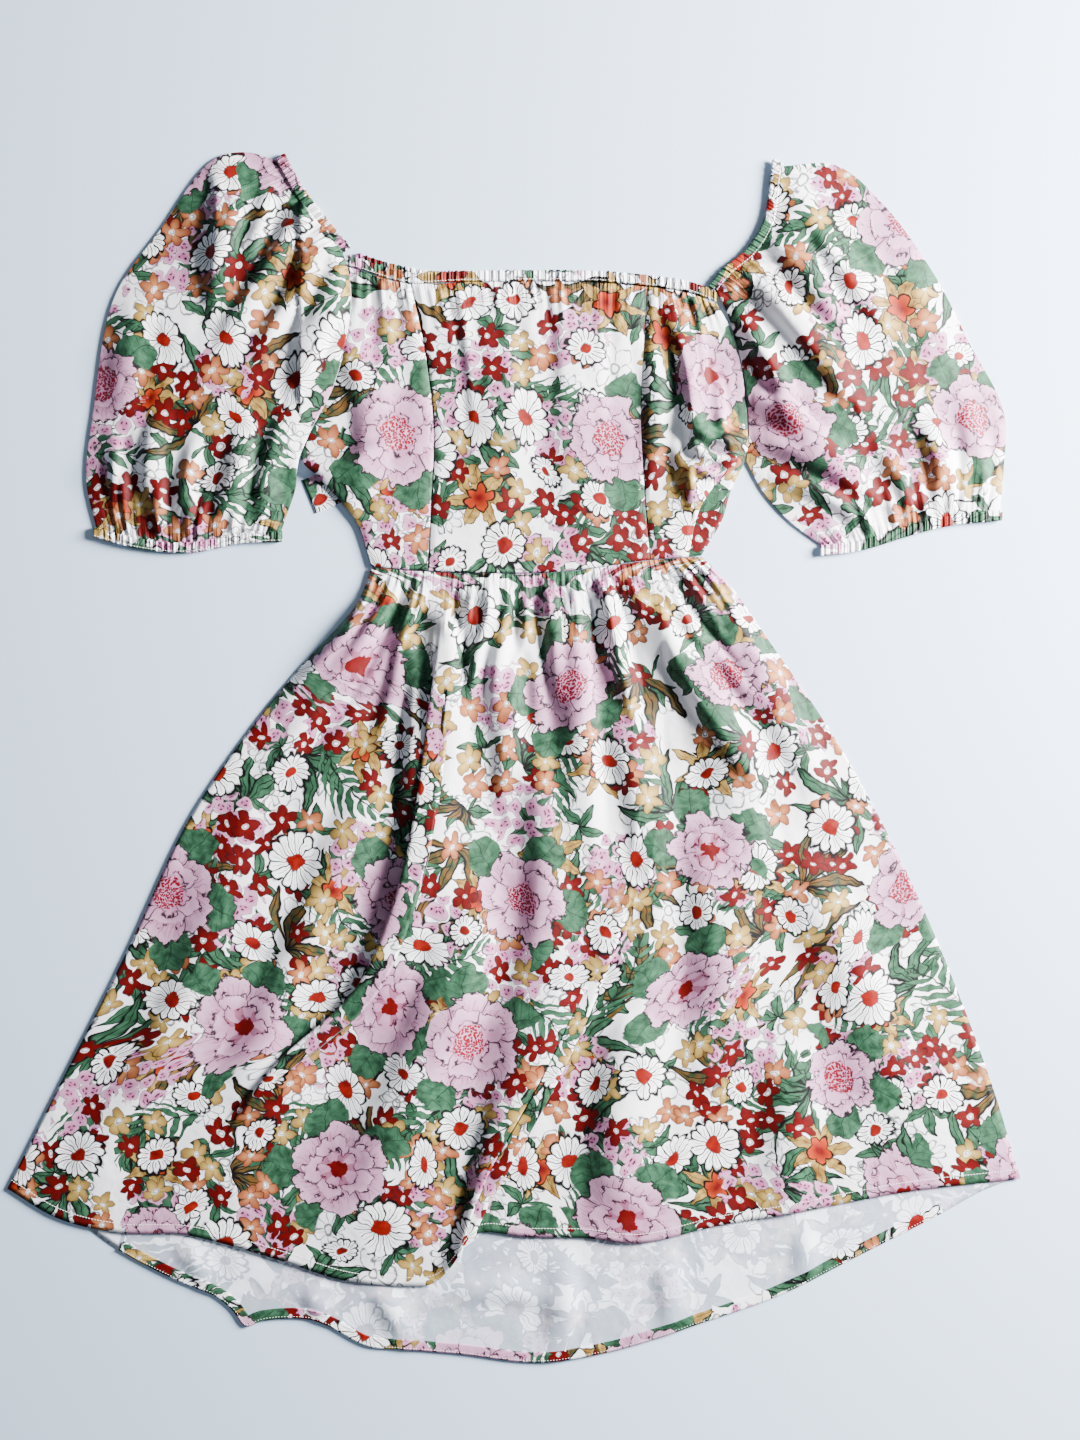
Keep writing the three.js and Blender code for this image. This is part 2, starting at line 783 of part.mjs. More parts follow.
// A line along the back layer, round a fold and along the front layer. Closed, it turns at both ends.
function foldedLine(points, closed) {
  const flat = curve(points).getSpacedPoints(24);
  const turn = (at, before) => {
    const out = at.clone().sub(before).setLength((FRONT_CASING_Z - BACK_CASING_Z) / 2);
    return [0.25, 0.5, 0.75].map((part) => {
      const angle = Math.PI * (part - 0.5);
      const point = at.clone().addScaledVector(out, Math.cos(angle));
      return point.setZ((FRONT_CASING_Z + BACK_CASING_Z) / 2 + out.length() * Math.sin(angle));
    });
  };
  const back = flat.map((point) => point.clone().setZ(BACK_CASING_Z));
  const front = flat.map((point) => point.clone().setZ(FRONT_CASING_Z)).reverse();
  const line = [...back, ...turn(flat.at(-1), flat.at(-2)), ...front];
  if (closed) {
    line.push(...turn(flat[0], flat[1]).reverse());
  }
  return line;
}

const DOWN = new THREE.Vector3(0, -1, 0);

function neckCasing(name, points, z) {
  casing(name, points.map((point) => place(point, z)), DOWN, NECK_WAVES);
}

neckCasing("neck_casing_front", NECK_FRONT, FRONT_CASING_Z);
neckCasing("neck_casing_back", NECK_BACK, BACK_CASING_Z);

// Over each sleeve the casing runs up the back layer, round the shoulder fold and down the front
function shoulderCasing(name, shape) {
  const inward = new THREE.Vector3(shape.inward.across, -shape.inward.down, 0).normalize();
  casing(name, foldedLine(shape.elastic, false), inward, SHOULDER_WAVES);
}

// A cuff is a closed gathered band below the sleeve hem
function cuff(name, shape) {
  const line = shape.hem.map(({ across, down }) => ({ across, down: down + SEAM }));
  casing(name, foldedLine(line, true), DOWN, CUFF_WAVES, true);
}

sleeve("sleeve_left", SLEEVE_LEFT, sleeveLift);
sleeve("sleeve_right", SLEEVE_RIGHT, () => 0);
shoulderCasing("shoulder_casing_left", SLEEVE_LEFT);
shoulderCasing("shoulder_casing_right", SLEEVE_RIGHT);
cuff("cuff_left", SLEEVE_LEFT);
cuff("cuff_right", SLEEVE_RIGHT);

// Ties: straight-ended flat strips on the surface under the bodice
function tie(name, points) {
  const path = curve(points);
  const columns = 12;
  const rows = [-0.5, 0.5].map((sideways) =>
    Array.from({ length: columns }, (_, column) => {
      const along = path.getTangentAt(share(column, columns));
      const point = path.getPointAt(share(column, columns));
      const move = sideways * TIE_WIDTH;
      return new THREE.Vector3(point.x - along.y * move, point.y + along.x * move, BACK_Z);
    }),
  );
  clothWall(name, rows, CLOTH, "print");
}

tie("tie_right", TIE_RIGHT);
tie("tie_left", TIE_LEFT);

export default group;
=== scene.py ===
# %% [markdown]
# # A printed dress laid flat
#
# This lesson turns a set of plain solids into a light summer dress: a puff-sleeved, square-necked dress
# of thin printed cloth, laid on its back on a pale surface and seen from straight above. Every panel is
# a thin shell that follows its solid, with finer folds and gathers, and the print is worked out by the
# shader, because a print that is computed stays sharp at any distance and needs no picture file.

import math

import bpy
import numpy as np
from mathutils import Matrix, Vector


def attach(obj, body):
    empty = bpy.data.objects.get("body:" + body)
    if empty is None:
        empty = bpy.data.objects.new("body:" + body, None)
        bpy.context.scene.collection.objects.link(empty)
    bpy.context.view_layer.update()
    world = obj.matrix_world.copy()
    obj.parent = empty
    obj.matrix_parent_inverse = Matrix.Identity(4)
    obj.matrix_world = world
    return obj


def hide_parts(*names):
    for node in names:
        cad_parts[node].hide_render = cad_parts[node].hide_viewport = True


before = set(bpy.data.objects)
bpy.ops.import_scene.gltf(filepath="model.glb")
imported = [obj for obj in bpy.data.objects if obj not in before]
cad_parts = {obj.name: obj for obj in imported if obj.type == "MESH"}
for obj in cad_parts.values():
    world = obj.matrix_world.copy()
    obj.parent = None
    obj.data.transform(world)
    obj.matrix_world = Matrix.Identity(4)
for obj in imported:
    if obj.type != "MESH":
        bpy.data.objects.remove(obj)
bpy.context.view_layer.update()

# %% [markdown]
# ## Sizes
#
# A garment maker works from a few measured lines: the waist, the hems, the sides and the armholes. They
# are given here in millimetres on the surface, "across" to the right and "down" towards the hem, and
# turned into metres round the middle of the dress. Layers are stacked from the surface up, so that the
# front never touches the back.

# %% Sizes
# in metres
CLOTH = 0.0005
BACK_Z = 0.0006
LAYER = 0.0015
FRONT_Z = BACK_Z + LAYER
CASING_DEPTH = 0.0105
CASING_THICK = 0.0021
BACK_CASING_Z = 0.0017
FRONT_CASING_Z = 0.0051
SAME_PLACE = 0.00001
# in millimetres
SEAM = 0.7
TUCKED = 0.5
BACK_NECK_GAP = 1.4
MIDDLE = (513, 755)
print("front", FRONT_Z, "m above the surface; casings", CASING_DEPTH, "m deep")

# %% [markdown]
# ## Outlines
#
# Each line runs from left to right or from the neck to the hem, with a point wherever the edge bends.
# The skirt's back hem hangs lower than the front one, and the sleeves reach out past the bodice.

# %% Outlines
WAIST = [(372, 567), (439, 572), (557, 572), (650, 560), (701, 556)]
SKIRT_LEFT = [
    (370, 568), (357, 604), (300, 668), (250, 730), (189, 820), (125, 956), (57, 1091), (8, 1188),
]  # fmt: skip
SKIRT_RIGHT = [
    (703, 557), (725, 580), (768, 640), (835, 739), (895, 849), (941, 951), (990, 1080), (1020, 1178),
]  # fmt: skip
FRONT_HEM = [
    (8, 1188), (60, 1218), (121, 1232), (179, 1233), (214, 1240), (286, 1261), (343, 1279),
    (400, 1285), (434, 1282), (450, 1266), (476, 1233), (526, 1236), (585, 1237), (640, 1242),
    (716, 1225), (804, 1210), (905, 1191), (1020, 1178),
]  # fmt: skip
BACK_HEM = [
    (14, 1188), (71, 1216), (118, 1249), (179, 1281), (214, 1295), (232, 1309), (246, 1326),
    (264, 1320), (314, 1320), (368, 1346), (404, 1349), (463, 1354), (539, 1362), (619, 1349),
    (703, 1322), (779, 1295), (863, 1253), (947, 1210), (981, 1191), (1014, 1178),
]  # fmt: skip
NECK_FRONT = [(347, 256), (406, 273), (470, 272), (590, 272), (640, 275.5), (690, 283), (716.5, 293.4)]
NECK_BACK = [
    (356, 253), (392, 264), (430, 271), (470, 272.4), (590, 272.4), (640, 275.9), (690, 283.4), (705, 288),
]  # fmt: skip
PRINCESS_LEFT = [(411, 284.9), (425, 350), (434, 430), (431, 510), (428, 571)]
PRINCESS_RIGHT = [(647, 288.3), (644, 340), (641, 420), (645, 500), (650, 560)]
BODICE_LEFT = [
    (347, 267.9), (343, 310), (337, 345), (324, 390), (306, 430), (302, 460), (319, 478), (343, 504),
    (358, 525), (372, 567),
]  # fmt: skip
RIGHT_ARMHOLE = [(716.5, 305.3), (730, 330), (741, 370), (747, 430)]
FRONT_RIGHT_SIDE = [*RIGHT_ARMHOLE, (744, 460), (718, 482), (699, 510), (688, 557)]
BACK_RIGHT_SIDE = [*RIGHT_ARMHOLE, (744, 462), (731, 490), (722, 520), (701, 556)]
SLEEVE_LEFT = {
    "cut": (0.31, 0.53),
    "inward": (-0.82, 0.57),
    "elastic": [(351, 248), (326, 218), (305, 190), (286, 156)],
    "armhole": [(352, 296), (347, 342), (334, 389), (313, 430), (298, 463)],
    "outer": [(245, 153), (213, 161), (161, 230), (115, 298), (94, 411), (87, 480), (97, 528)],
    "underarm": [(298, 463), (296, 487), (288, 512), (281, 532)],
    "hem": [(97, 528), (140, 539), (192, 543), (240, 534), (281, 532)],
}
SLEEVE_RIGHT = {
    "cut": (-0.64, 0.71),
    "inward": (0.87, 0.5),
    "elastic": [(708, 287.2), (722, 270), (745, 251), (763, 222), (772, 162)],
    "armhole": [(723.5, 306), (732, 330), (741.7, 367), (748.4, 430), (746, 462)],
    "outer": [(835, 166), (880, 202), (931, 271), (970, 346), (1003, 412), (1003, 470), (999, 511)],
    "underarm": [(746, 462), (765, 495), (790, 522), (822, 546)],
    "hem": [(999, 511), (950, 516), (910, 526), (860, 541), (822, 546)],
}
TIE_RIGHT = [(690, 515), (620, 477), (520, 452), (400, 460), (309, 497)]
TIE_LEFT = [(374, 532), (450, 519), (560, 525), (640, 533)]
TIE_WIDTH = 0.036


def at(points):
    """Points in millimetres across and down, as metres right and up from the middle."""
    points = np.asarray(points, float)
    return np.stack([points[..., 0] - MIDDLE[0], MIDDLE[1] - points[..., 1]], -1) / 1000


def fade(low, high, value):
    """0 below low, 1 above high and smooth between."""
    t = np.clip((np.asarray(value, float) - low) / (high - low), 0, 1)
    return t * t * (3 - 2 * t)


print("waist", WAIST[-1][0] - WAIST[0][0], "mm wide")

# %% [markdown]
# ## Curves and panels
#
# A smooth curve through a few points does for every seam. A panel is then filled in between its four
# edges, as a sheet of rubber held on a bent frame would be: that keeps its rows and columns following
# the edges, so gathers run down from the seam that makes them.


# %% Curves and panels
class Line:
    """A smooth curve through points, sampled evenly by its length."""

    def __init__(self, points, closed=False):
        p = np.asarray(points, float)
        if closed:
            p = np.vstack([p[-1], p, p[0], p[1]])
        else:
            p = np.vstack([2 * p[0] - p[1], p, 2 * p[-1] - p[-2]])
        t = np.linspace(0, 1, 60, endpoint=False)[:, None]
        parts = []
        for a, b, c, d in zip(p, p[1:], p[2:], p[3:]):
            ab, bc, cd = (max(np.linalg.norm(y - x), 1e-9) ** 0.5 for x, y in ((a, b), (b, c), (c, d)))
            m1 = ((b - a) / ab - (c - a) / (ab + bc) + (c - b) / bc) * bc
            m2 = ((c - b) / bc - (d - b) / (bc + cd) + (d - c) / cd) * bc
            parts.append(
                b + m1 * t + (3 * (c - b) - 2 * m1 - m2) * t**2 + (2 * (b - c) + m1 + m2) * t**3
            )
        self.points = np.vstack([*parts, p[-2][None]])
        steps = np.linalg.norm(np.diff(self.points, axis=0), axis=1)
        self.length = float(steps.sum())
        self.shares = np.concatenate([[0], np.cumsum(steps)]) / self.length

    def at(self, u):
        u = np.clip(np.asarray(u, float), 0, 1)
        return np.stack([np.interp(u, self.shares, axis) for axis in self.points.T], -1)

    def along(self, u, step=0.004):
        """The unit direction at u."""
        way = self.at(np.minimum(np.asarray(u) + step, 1)) - self.at(np.maximum(np.asarray(u) - step, 0))
        return way / np.linalg.norm(way, axis=-1, keepdims=True)

    def part(self, start, end):
        return Line(self.at(np.linspace(start, end, 13)))


def patch(edges, u, v):
    """Points between four edges: u across from left to right, v down from top to bottom."""
    top, bottom, left, right = (edges[name] for name in ("top", "bottom", "left", "right"))
    a, b = u[..., None], v[..., None]
    point = top.at(u) * (1 - b) + bottom.at(u) * b + left.at(v) * (1 - a) + right.at(v) * a
    corners = top.at(0) * (1 - a) * (1 - b) + top.at(1) * a * (1 - b)
    return point - corners - bottom.at(0) * (1 - a) * b - bottom.at(1) * a * b


def spread(columns, rows):
    return np.meshgrid(np.linspace(0, 1, columns), np.linspace(0, 1, rows))


print("a test curve round three corners is", Line([(0, 0), (1, 0), (1, 1)]).length, "long")

# %% [markdown]
# ## Folds
#
# Light cloth that has been laid down keeps soft ridges: long ones that fan out from the gathers, short
# ones where a sleeve is bunched. Each is given by its start, middle and end, with its own
# breadth and height, because evenly made folds look like a machine part. The last number makes one
# flank of the ridge steeper than the other.

# %% Folds
# start, middle, end, breadth, height and lean
FOLDS = [
    # skirt, from the waist outwards and down
    ((372, 600), (345, 640), (292, 706), 15, 6, 0.3),
    ((392, 590), (372, 640), (330, 716), 9, 3, -0.3),
    ((414, 590), (404, 650), (380, 740), 10, 4, 0.2),
    ((436, 585), (450, 660), (441, 740), 14, 8, -0.5),
    ((462, 586), (476, 640), (478, 720), 8, 4, 0.2),
    ((486, 590), (500, 680), (504, 800), 15, 6, 0.4),
    ((520, 588), (530, 640), (540, 720), 9, 3, 0),
    ((548, 588), (552, 640), (556, 700), 8, 3.5, 0.3),
    ((566, 590), (578, 700), (590, 880), 17, 6, -0.3),
    ((604, 588), (616, 650), (640, 730), 9, 4, 0.3),
    ((640, 588), (690, 680), (764, 790), 16, 8, 0.5),
    ((664, 586), (704, 640), (752, 700), 8, 4, -0.3),
    ((694, 586), (744, 650), (812, 780), 15, 5, 0.2),
    ((462, 870), (440, 1000), (376, 1140), 30, 6, 0.5),
    ((574, 880), (540, 1010), (480, 1150), 28, 5, -0.4),
    ((690, 820), (716, 950), (700, 1140), 30, 5, 0.3),
    ((790, 850), (846, 960), (896, 1110), 28, 5, -0.2),
    ((260, 850), (206, 970), (150, 1100), 28, 4.5, 0.3),
    ((320, 900), (280, 1000), (240, 1090), 20, 3, 0),
    ((640, 1010), (620, 1100), (610, 1220), 26, 4, 0.3),
    ((418, 640), (414, 740), (404, 840), 12, 5, 0.5),
    ((610, 700), (640, 800), (652, 900), 20, 4.5, 0.4),
    ((700, 700), (740, 780), (760, 900), 22, 4.5, -0.3),
    ((480, 900), (452, 1010), (400, 1120), 16, 3.5, -0.2),
    ((380, 760), (340, 860), (296, 960), 24, 4, 0.3),
    ((536, 740), (548, 840), (540, 950), 22, 4, 0.2),
    ((780, 1040), (790, 1120), (780, 1205), 24, 4, 0),
    # bodice
    ((672, 320), (690, 400), (693, 505), 11, 5.5, 0.6),
    ((470, 320), (500, 400), (490, 520), 26, 2.5, 0),
    ((590, 320), (580, 420), (590, 530), 26, 2.5, 0),
    ((340, 330), (368, 420), (352, 500), 16, 3, 0.3),
    ((300, 466), (340, 470), (400, 440), 9, 3.5, 0.2),
    ((716, 380), (722, 430), (736, 462), 8, 4, -0.3),
    ((686, 420), (708, 440), (742, 446), 7, 6, 0.5),
    ((692, 446), (714, 460), (742, 460), 6, 6.5, -0.5),
    ((694, 470), (710, 476), (730, 470), 6, 5, 0.4),
    ((672, 440), (684, 470), (690, 500), 8, 4, -0.3),
    ((648, 330), (656, 400), (652, 480), 12, 3, -0.3),
]

# start, middle, end, breadth, height and lean
SLEEVE_FOLDS = [
    # left sleeve
    ((214, 168), (219, 230), (212, 306), 12, 8, 0.9),
    ((243, 170), (240, 210), (226, 262), 10, 4, 0.2),
    ((270, 184), (262, 230), (240, 290), 10, 4.5, -0.4),
    ((300, 214), (276, 262), (226, 340), 12, 6, 0.4),
    ((322, 244), (300, 290), (262, 350), 10, 4.5, 0.2),
    ((338, 268), (334, 310), (300, 386), 11, 5, -0.5),
    ((140, 300), (128, 350), (120, 420), 18, 4, 0),
    ((124, 500), (118, 470), (112, 430), 9, 4, 0.2),
    ((160, 520), (152, 470), (160, 420), 11, 4.5, -0.2),
    ((192, 524), (190, 490), (200, 440), 9, 4, 0.2),
    ((226, 520), (240, 480), (250, 430), 12, 5, 0.3),
    ((262, 516), (270, 470), (284, 420), 10, 5, -0.4),
    # right sleeve
    ((790, 190), (826, 250), (886, 330), 14, 5, 0.4),
    ((784, 214), (806, 262), (836, 320), 10, 4.5, -0.2),
    ((770, 240), (800, 280), (850, 350), 10, 5, 0.3),
    ((752, 286), (796, 330), (846, 400), 14, 7, 0.5),
    ((738, 318), (770, 372), (790, 420), 10, 5, 0.2),
    ((750, 400), (790, 420), (850, 470), 12, 6, -0.3),
    ((752, 446), (800, 456), (870, 500), 12, 6, 0.4),
    ((766, 480), (812, 492), (866, 524), 9, 5, 0.2),
    ((982, 494), (976, 450), (962, 400), 10, 4, 0.2),
    ((944, 500), (936, 460), (920, 420), 11, 5, -0.2),
    ((906, 510), (896, 480), (880, 450), 9, 4, 0),
    ((900, 240), (926, 300), (950, 370), 20, 4, 0),
]


FOLD_RISE = 2.2
FOLD_REACH = 1.6
FOLD_LEAN = 0.6


def beside(line, flat):
    """For each point: its distance from a line, its share along the line and the side it is on."""
    near = np.full(len(flat), np.inf)
    along, side = np.zeros(len(flat)), np.zeros(len(flat))
    for index, (p, q) in enumerate(zip(line, line[1:])):
        way = q - p
        rel = flat - p
        s = np.clip(rel @ way / (way @ way), 0, 1)
        far = np.linalg.norm(rel - s[:, None] * way, axis=1)
        closer = far < near
        near = np.where(closer, far, near)
        along = np.where(closer, (index + s) / (len(line) - 1), along)
        side = np.where(closer, np.sign(way[0] * rel[:, 1] - way[1] * rel[:, 0]), side)
    return near, along, side


def ridges(folds, xy):
    """The height in metres that a list of folds adds at each point."""
    flat = xy.reshape(-1, 2)
    height = np.zeros(len(flat))
    t = np.linspace(0, 1, 18)[:, None]
    for start, via, end, wide, high, lean in folds:
        a, m, b = at(start), at(via), at(end)
        bend = 2 * m - (a + b) / 2
        near, along, side = beside(a * (1 - t) ** 2 + 2 * bend * t * (1 - t) + b * t**2, flat)
        reach = wide / 1000 * FOLD_REACH * (1 + lean * side * FOLD_LEAN)
        shape = np.clip(1 - (near / reach) ** 2, 0, None) ** 2
        ends = np.clip(np.sin(np.pi * np.clip(0.04 + along * 0.92, 0, 1)), 0, 1) ** 0.7
        height += high * FOLD_RISE / 1000 * shape * ends
    return height.reshape(xy.shape[:-1])


def tie_lift(xy):
    """The bodice rides over the ties that lie under it."""
    down = MIDDLE[1] - xy[..., 1] * 1000
    return LAYER * fade(390, 420, down) * (1 - fade(566, 612, down))


print(len(FOLDS) + len(SLEEVE_FOLDS), "folds")

# %% [markdown]
# ## Making a sheet
#
# Blender's grid is the raw cloth: it is added flat, its points are moved to where the cloth lies, and a
# Solidify modifier gives it its thickness. The cloth remembers where on the uncut length of print each
# point came from: that is its UV map, in metres. Where cloth is gathered, a short seam holds a long
# piece of print, which is why the flowers crowd together there. A second map, "gathers", holds how far
# along the gathered seam a point is and how strongly it is gathered, for the finest gathers of all.


# %% Making a sheet
def laid(places, cut=(0.0, 0.0)):
    """Where each point lay on the print before the panel was gathered and folded. Each panel was cut
    from another place of the cloth, so the print doesn't run on over a seam."""
    steps = np.diff(places[..., (0, 2)], axis=1)
    run = np.cumsum(np.pad(np.linalg.norm(steps, axis=2), ((0, 0), (1, 0))), axis=1)
    middle = places.shape[1] // 2
    run += places[:, middle, 0][:, None] - run[:, middle][:, None]
    return np.stack([run, places[..., 1]], -1) + cut


def gathered_at(far, along, reach=0.014):
    """How strongly each point is gathered: 1 at a gathered seam, less with distance. The other number
    is the place along the seam, in metres."""
    return np.stack([np.broadcast_to(along, far.shape), np.exp(-far / reach)], -1)


def add_grid(name, places, uv, gathers=None):
    rows, columns = places.shape[:2]
    bpy.ops.object.select_all(action="DESELECT")
    bpy.ops.mesh.primitive_grid_add(x_subdivisions=columns - 1, y_subdivisions=rows - 1, size=1)
    obj = bpy.context.object
    obj.name = name
    mesh = obj.data
    grid = np.empty(len(mesh.vertices) * 3)
    mesh.vertices.foreach_get("co", grid)
    grid = grid.reshape(-1, 3)
    column = np.rint((grid[:, 0] + 0.5) * (columns - 1)).astype(int)
    row = np.rint((0.5 - grid[:, 1]) * (rows - 1)).astype(int)
    mesh.vertices.foreach_set("co", places[row, column].ravel())
    loops = np.empty(len(mesh.loops), int)
    mesh.loops.foreach_get("vertex_index", loops)
    mesh.uv_layers[0].data.foreach_set("uv", uv[row, column][loops].ravel())
    if gathers is not None:
        mesh.uv_layers.new(name="gathers").data.foreach_set("uv", gathers[row, column][loops].ravel())
    mesh.update()
    return obj


def finish_sheet(obj, thickness, material, inside, tube=False):
    """Closes a tube's long seam, gives the sheet its thickness and its two materials."""
    if tube:
        bpy.ops.object.mode_set(mode="EDIT")
        bpy.ops.mesh.select_all(action="SELECT")
        bpy.ops.mesh.remove_doubles(threshold=SAME_PLACE)
        bpy.ops.object.mode_set(mode="OBJECT")
    obj.data.materials.append(material)
    obj.data.materials.append(inside)
    solid = obj.modifiers.new("thickness", "SOLIDIFY")
    solid.thickness = thickness
    solid.offset = 0
    solid.material_offset = 1
    bpy.ops.object.modifier_apply(modifier=solid.name)
    bpy.ops.object.shade_smooth()
    obj.data.validate()
    return obj


def area_of(places):
    """The area of the middle of a sheet, from the halves of its cells."""
    a, b, c, d = places[:-1, :-1], places[:-1, 1:], places[1:, 1:], places[1:, :-1]
    halves = np.cross(b - a, c - a), np.cross(c - a, d - a)
    return float(sum(np.linalg.norm(half, axis=-1).sum() for half in halves) / 2)


def cut_of(places):
    """The size and area of the flat piece that a sheet was cut as."""
    across = np.linalg.norm(np.diff(places, axis=1), axis=2).sum(axis=1).max()
    down = np.linalg.norm(np.diff(places, axis=0), axis=2).sum(axis=0).max()
    return (float(across), float(down)), min(area_of(places), float(across * down))


def declare(obj, node, cut):
    """Hangs the cloth on the root body, hides the solid it stands for and prints how it was cut."""
    flat, area = cut
    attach(obj, "root")
    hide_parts(node)
    size = f"{flat[0] * 1000:.0f} by {flat[1] * 1000:.0f} mm, {area:.3f} m2"
    print(f"{obj.name}: cut {size}, {len(obj.data.polygons)} faces")
    return obj


test_square = np.dstack([*spread(3, 3), np.zeros((3, 3))])
print("a test square, 1 by 1 m, measures", cut_of(test_square))


# %% [markdown]
# ## Writing shaders as sums
#
# A print is a long sum: this petal, minus that edge, times a colour. Wrapping a socket in a small class
# lets the sum be written as one, and each sign makes its node.


# %% Shader signals
class Signal:
    """A node's output that can be added, multiplied and so on, making the nodes as it goes."""

    def __init__(self, tree, socket):
        self.tree = tree
        self.socket = socket

    def node(self, kind, settings=None, output=0, **values):
        made = self.tree.nodes.new(kind)
        for name, value in (settings or {}).items():
            setattr(made, name, value)
        for name, value in values.items():
            key = int(name[1:]) if name[0] == "i" and name[1:].isdigit() else name.replace("_", " ")
            self.feed(made.inputs[key], value)
        return Signal(self.tree, made.outputs[output])

    def feed(self, target, value):
        if isinstance(value, Signal):
            self.tree.links.new(value.socket, target)
        else:
            target.default_value = value

    def maths(self, operation, *others, clamp=False):
        values = {f"i{index}": value for index, value in enumerate((self, *others))}
        return self.node("ShaderNodeMath", {"operation": operation, "use_clamp": clamp}, **values)

    def __add__(self, other):
        return self.maths("ADD", other)

    __radd__ = __add__

    def __sub__(self, other):
        return self.maths("SUBTRACT", other)

    def __rsub__(self, other):
        return (self * -1).maths("ADD", other)

    def __mul__(self, other):
        return self.maths("MULTIPLY", other)

    __rmul__ = __mul__

    def __truediv__(self, other):
        return self.maths("DIVIDE", other)

    def __pow__(self, other):
        return self.maths("POWER", other)

    def __abs__(self):
        return self.maths("ABSOLUTE")

    def held(self):
        """The same value, kept between 0 and 1."""
        return self.maths("ADD", 0.0, clamp=True)

    def over(self, low, high):
        """0 at low and 1 at high, straight between and steady outside. High may be the smaller one."""
        slope = 1 / (high - low)
        return self.maths("MULTIPLY_ADD", slope, -low * slope, clamp=True)

    def mix(self, first, second):
        """first where this is 0 and second where it is 1, as colours."""
        return self.node("ShaderNodeMix", {"data_type": "RGBA"}, 2, i0=self, i6=first, i7=second)

    def vector(self, operation, other, output=0):
        return self.node("ShaderNodeVectorMath", {"operation": operation}, output, i0=self, i1=other)

    def noise(self, scale, detail, output=0):
        """Soft random unevenness over a flat place."""
        flat = {"noise_dimensions": "2D"}
        return self.node("ShaderNodeTexNoise", flat, output, Vector=self, Scale=scale, Detail=detail)

    def parts(self):
        made = self.tree.nodes.new("ShaderNodeSeparateXYZ")
        self.tree.links.new(self.socket, made.inputs[0])
        return [Signal(self.tree, socket) for socket in made.outputs]


def colour(red, green, blue):
    """A colour as the eye reads it, 0 to 255, as the shader's own numbers."""
    return tuple((value / 255) ** 2.2 for value in (red, green, blue)) + (1.0,)


def new_material(name):
    material = bpy.data.materials.new(name)
    material.use_nodes = True
    return material, material.node_tree, material.node_tree.nodes["Principled BSDF"]


print("white as the eye reads it", colour(255, 255, 255))


# %% [markdown]
# ## The print
#
# A scattered floral is drawn in layers, as a screen printer builds it: leaves and ferns first, then the
# small flowers, then the daisies, and the big blooms on top. For each layer a Voronoi texture picks the
# nearest of a loose grid of centres, and gives each its own chance numbers for turn, size and colour.
# Round that centre everything is drawn from the distance and the angle: a petal is a bulge in the
# distance that repeats with the angle, and a dark line runs where one petal meets the next. All sizes
# are in millimetres. The flowers are ordinary ones, arranged by the shader and not taken from any cloth.

# %% The print's colours
GROUND = colour(230, 230, 237)
WHITE = colour(238, 238, 244)
DRAWING = colour(28, 36, 35)
INK = colour(10, 8, 11)
LILAC = colour(154, 100, 132)
PALE_LILAC = colour(186, 146, 172)
BLOSSOM_HEART = colour(164, 88, 132)
CRIMSON = colour(86, 6, 30)
BLOOM_DOTS = colour(104, 4, 26)
LEAF = colour(56, 92, 70)
DARK_LEAF = colour(28, 52, 38)
LEAF_LINE = colour(12, 24, 17)
OCHRE = colour(96, 66, 32)
STRAW = colour(160, 134, 76)
PEACH = colour(156, 100, 68)
RUST = colour(98, 36, 16)
STAR_RIM = colour(150, 52, 24)
BROWN = colour(40, 22, 12)
RED = colour(84, 1, 6)
RED_RIM = colour(64, 0, 6)
RED_LINE = colour(24, 2, 4)
ORANGE = colour(120, 22, 8)
LINE = 1.15
SUDDEN = 0.001
print("line", LINE, "mm wide")

# %% [markdown]
# ## Motifs and masks
#
# A Spot is one layer of scattered motifs. It knows, for every place on the cloth, how far the nearest
# centre is and in which direction. A mask is a number that is 1 on a shape and 0 off it, with a soft
# rim, and the Mix node behind mask.mix(cloth, paint) lays the paint on the cloth there.


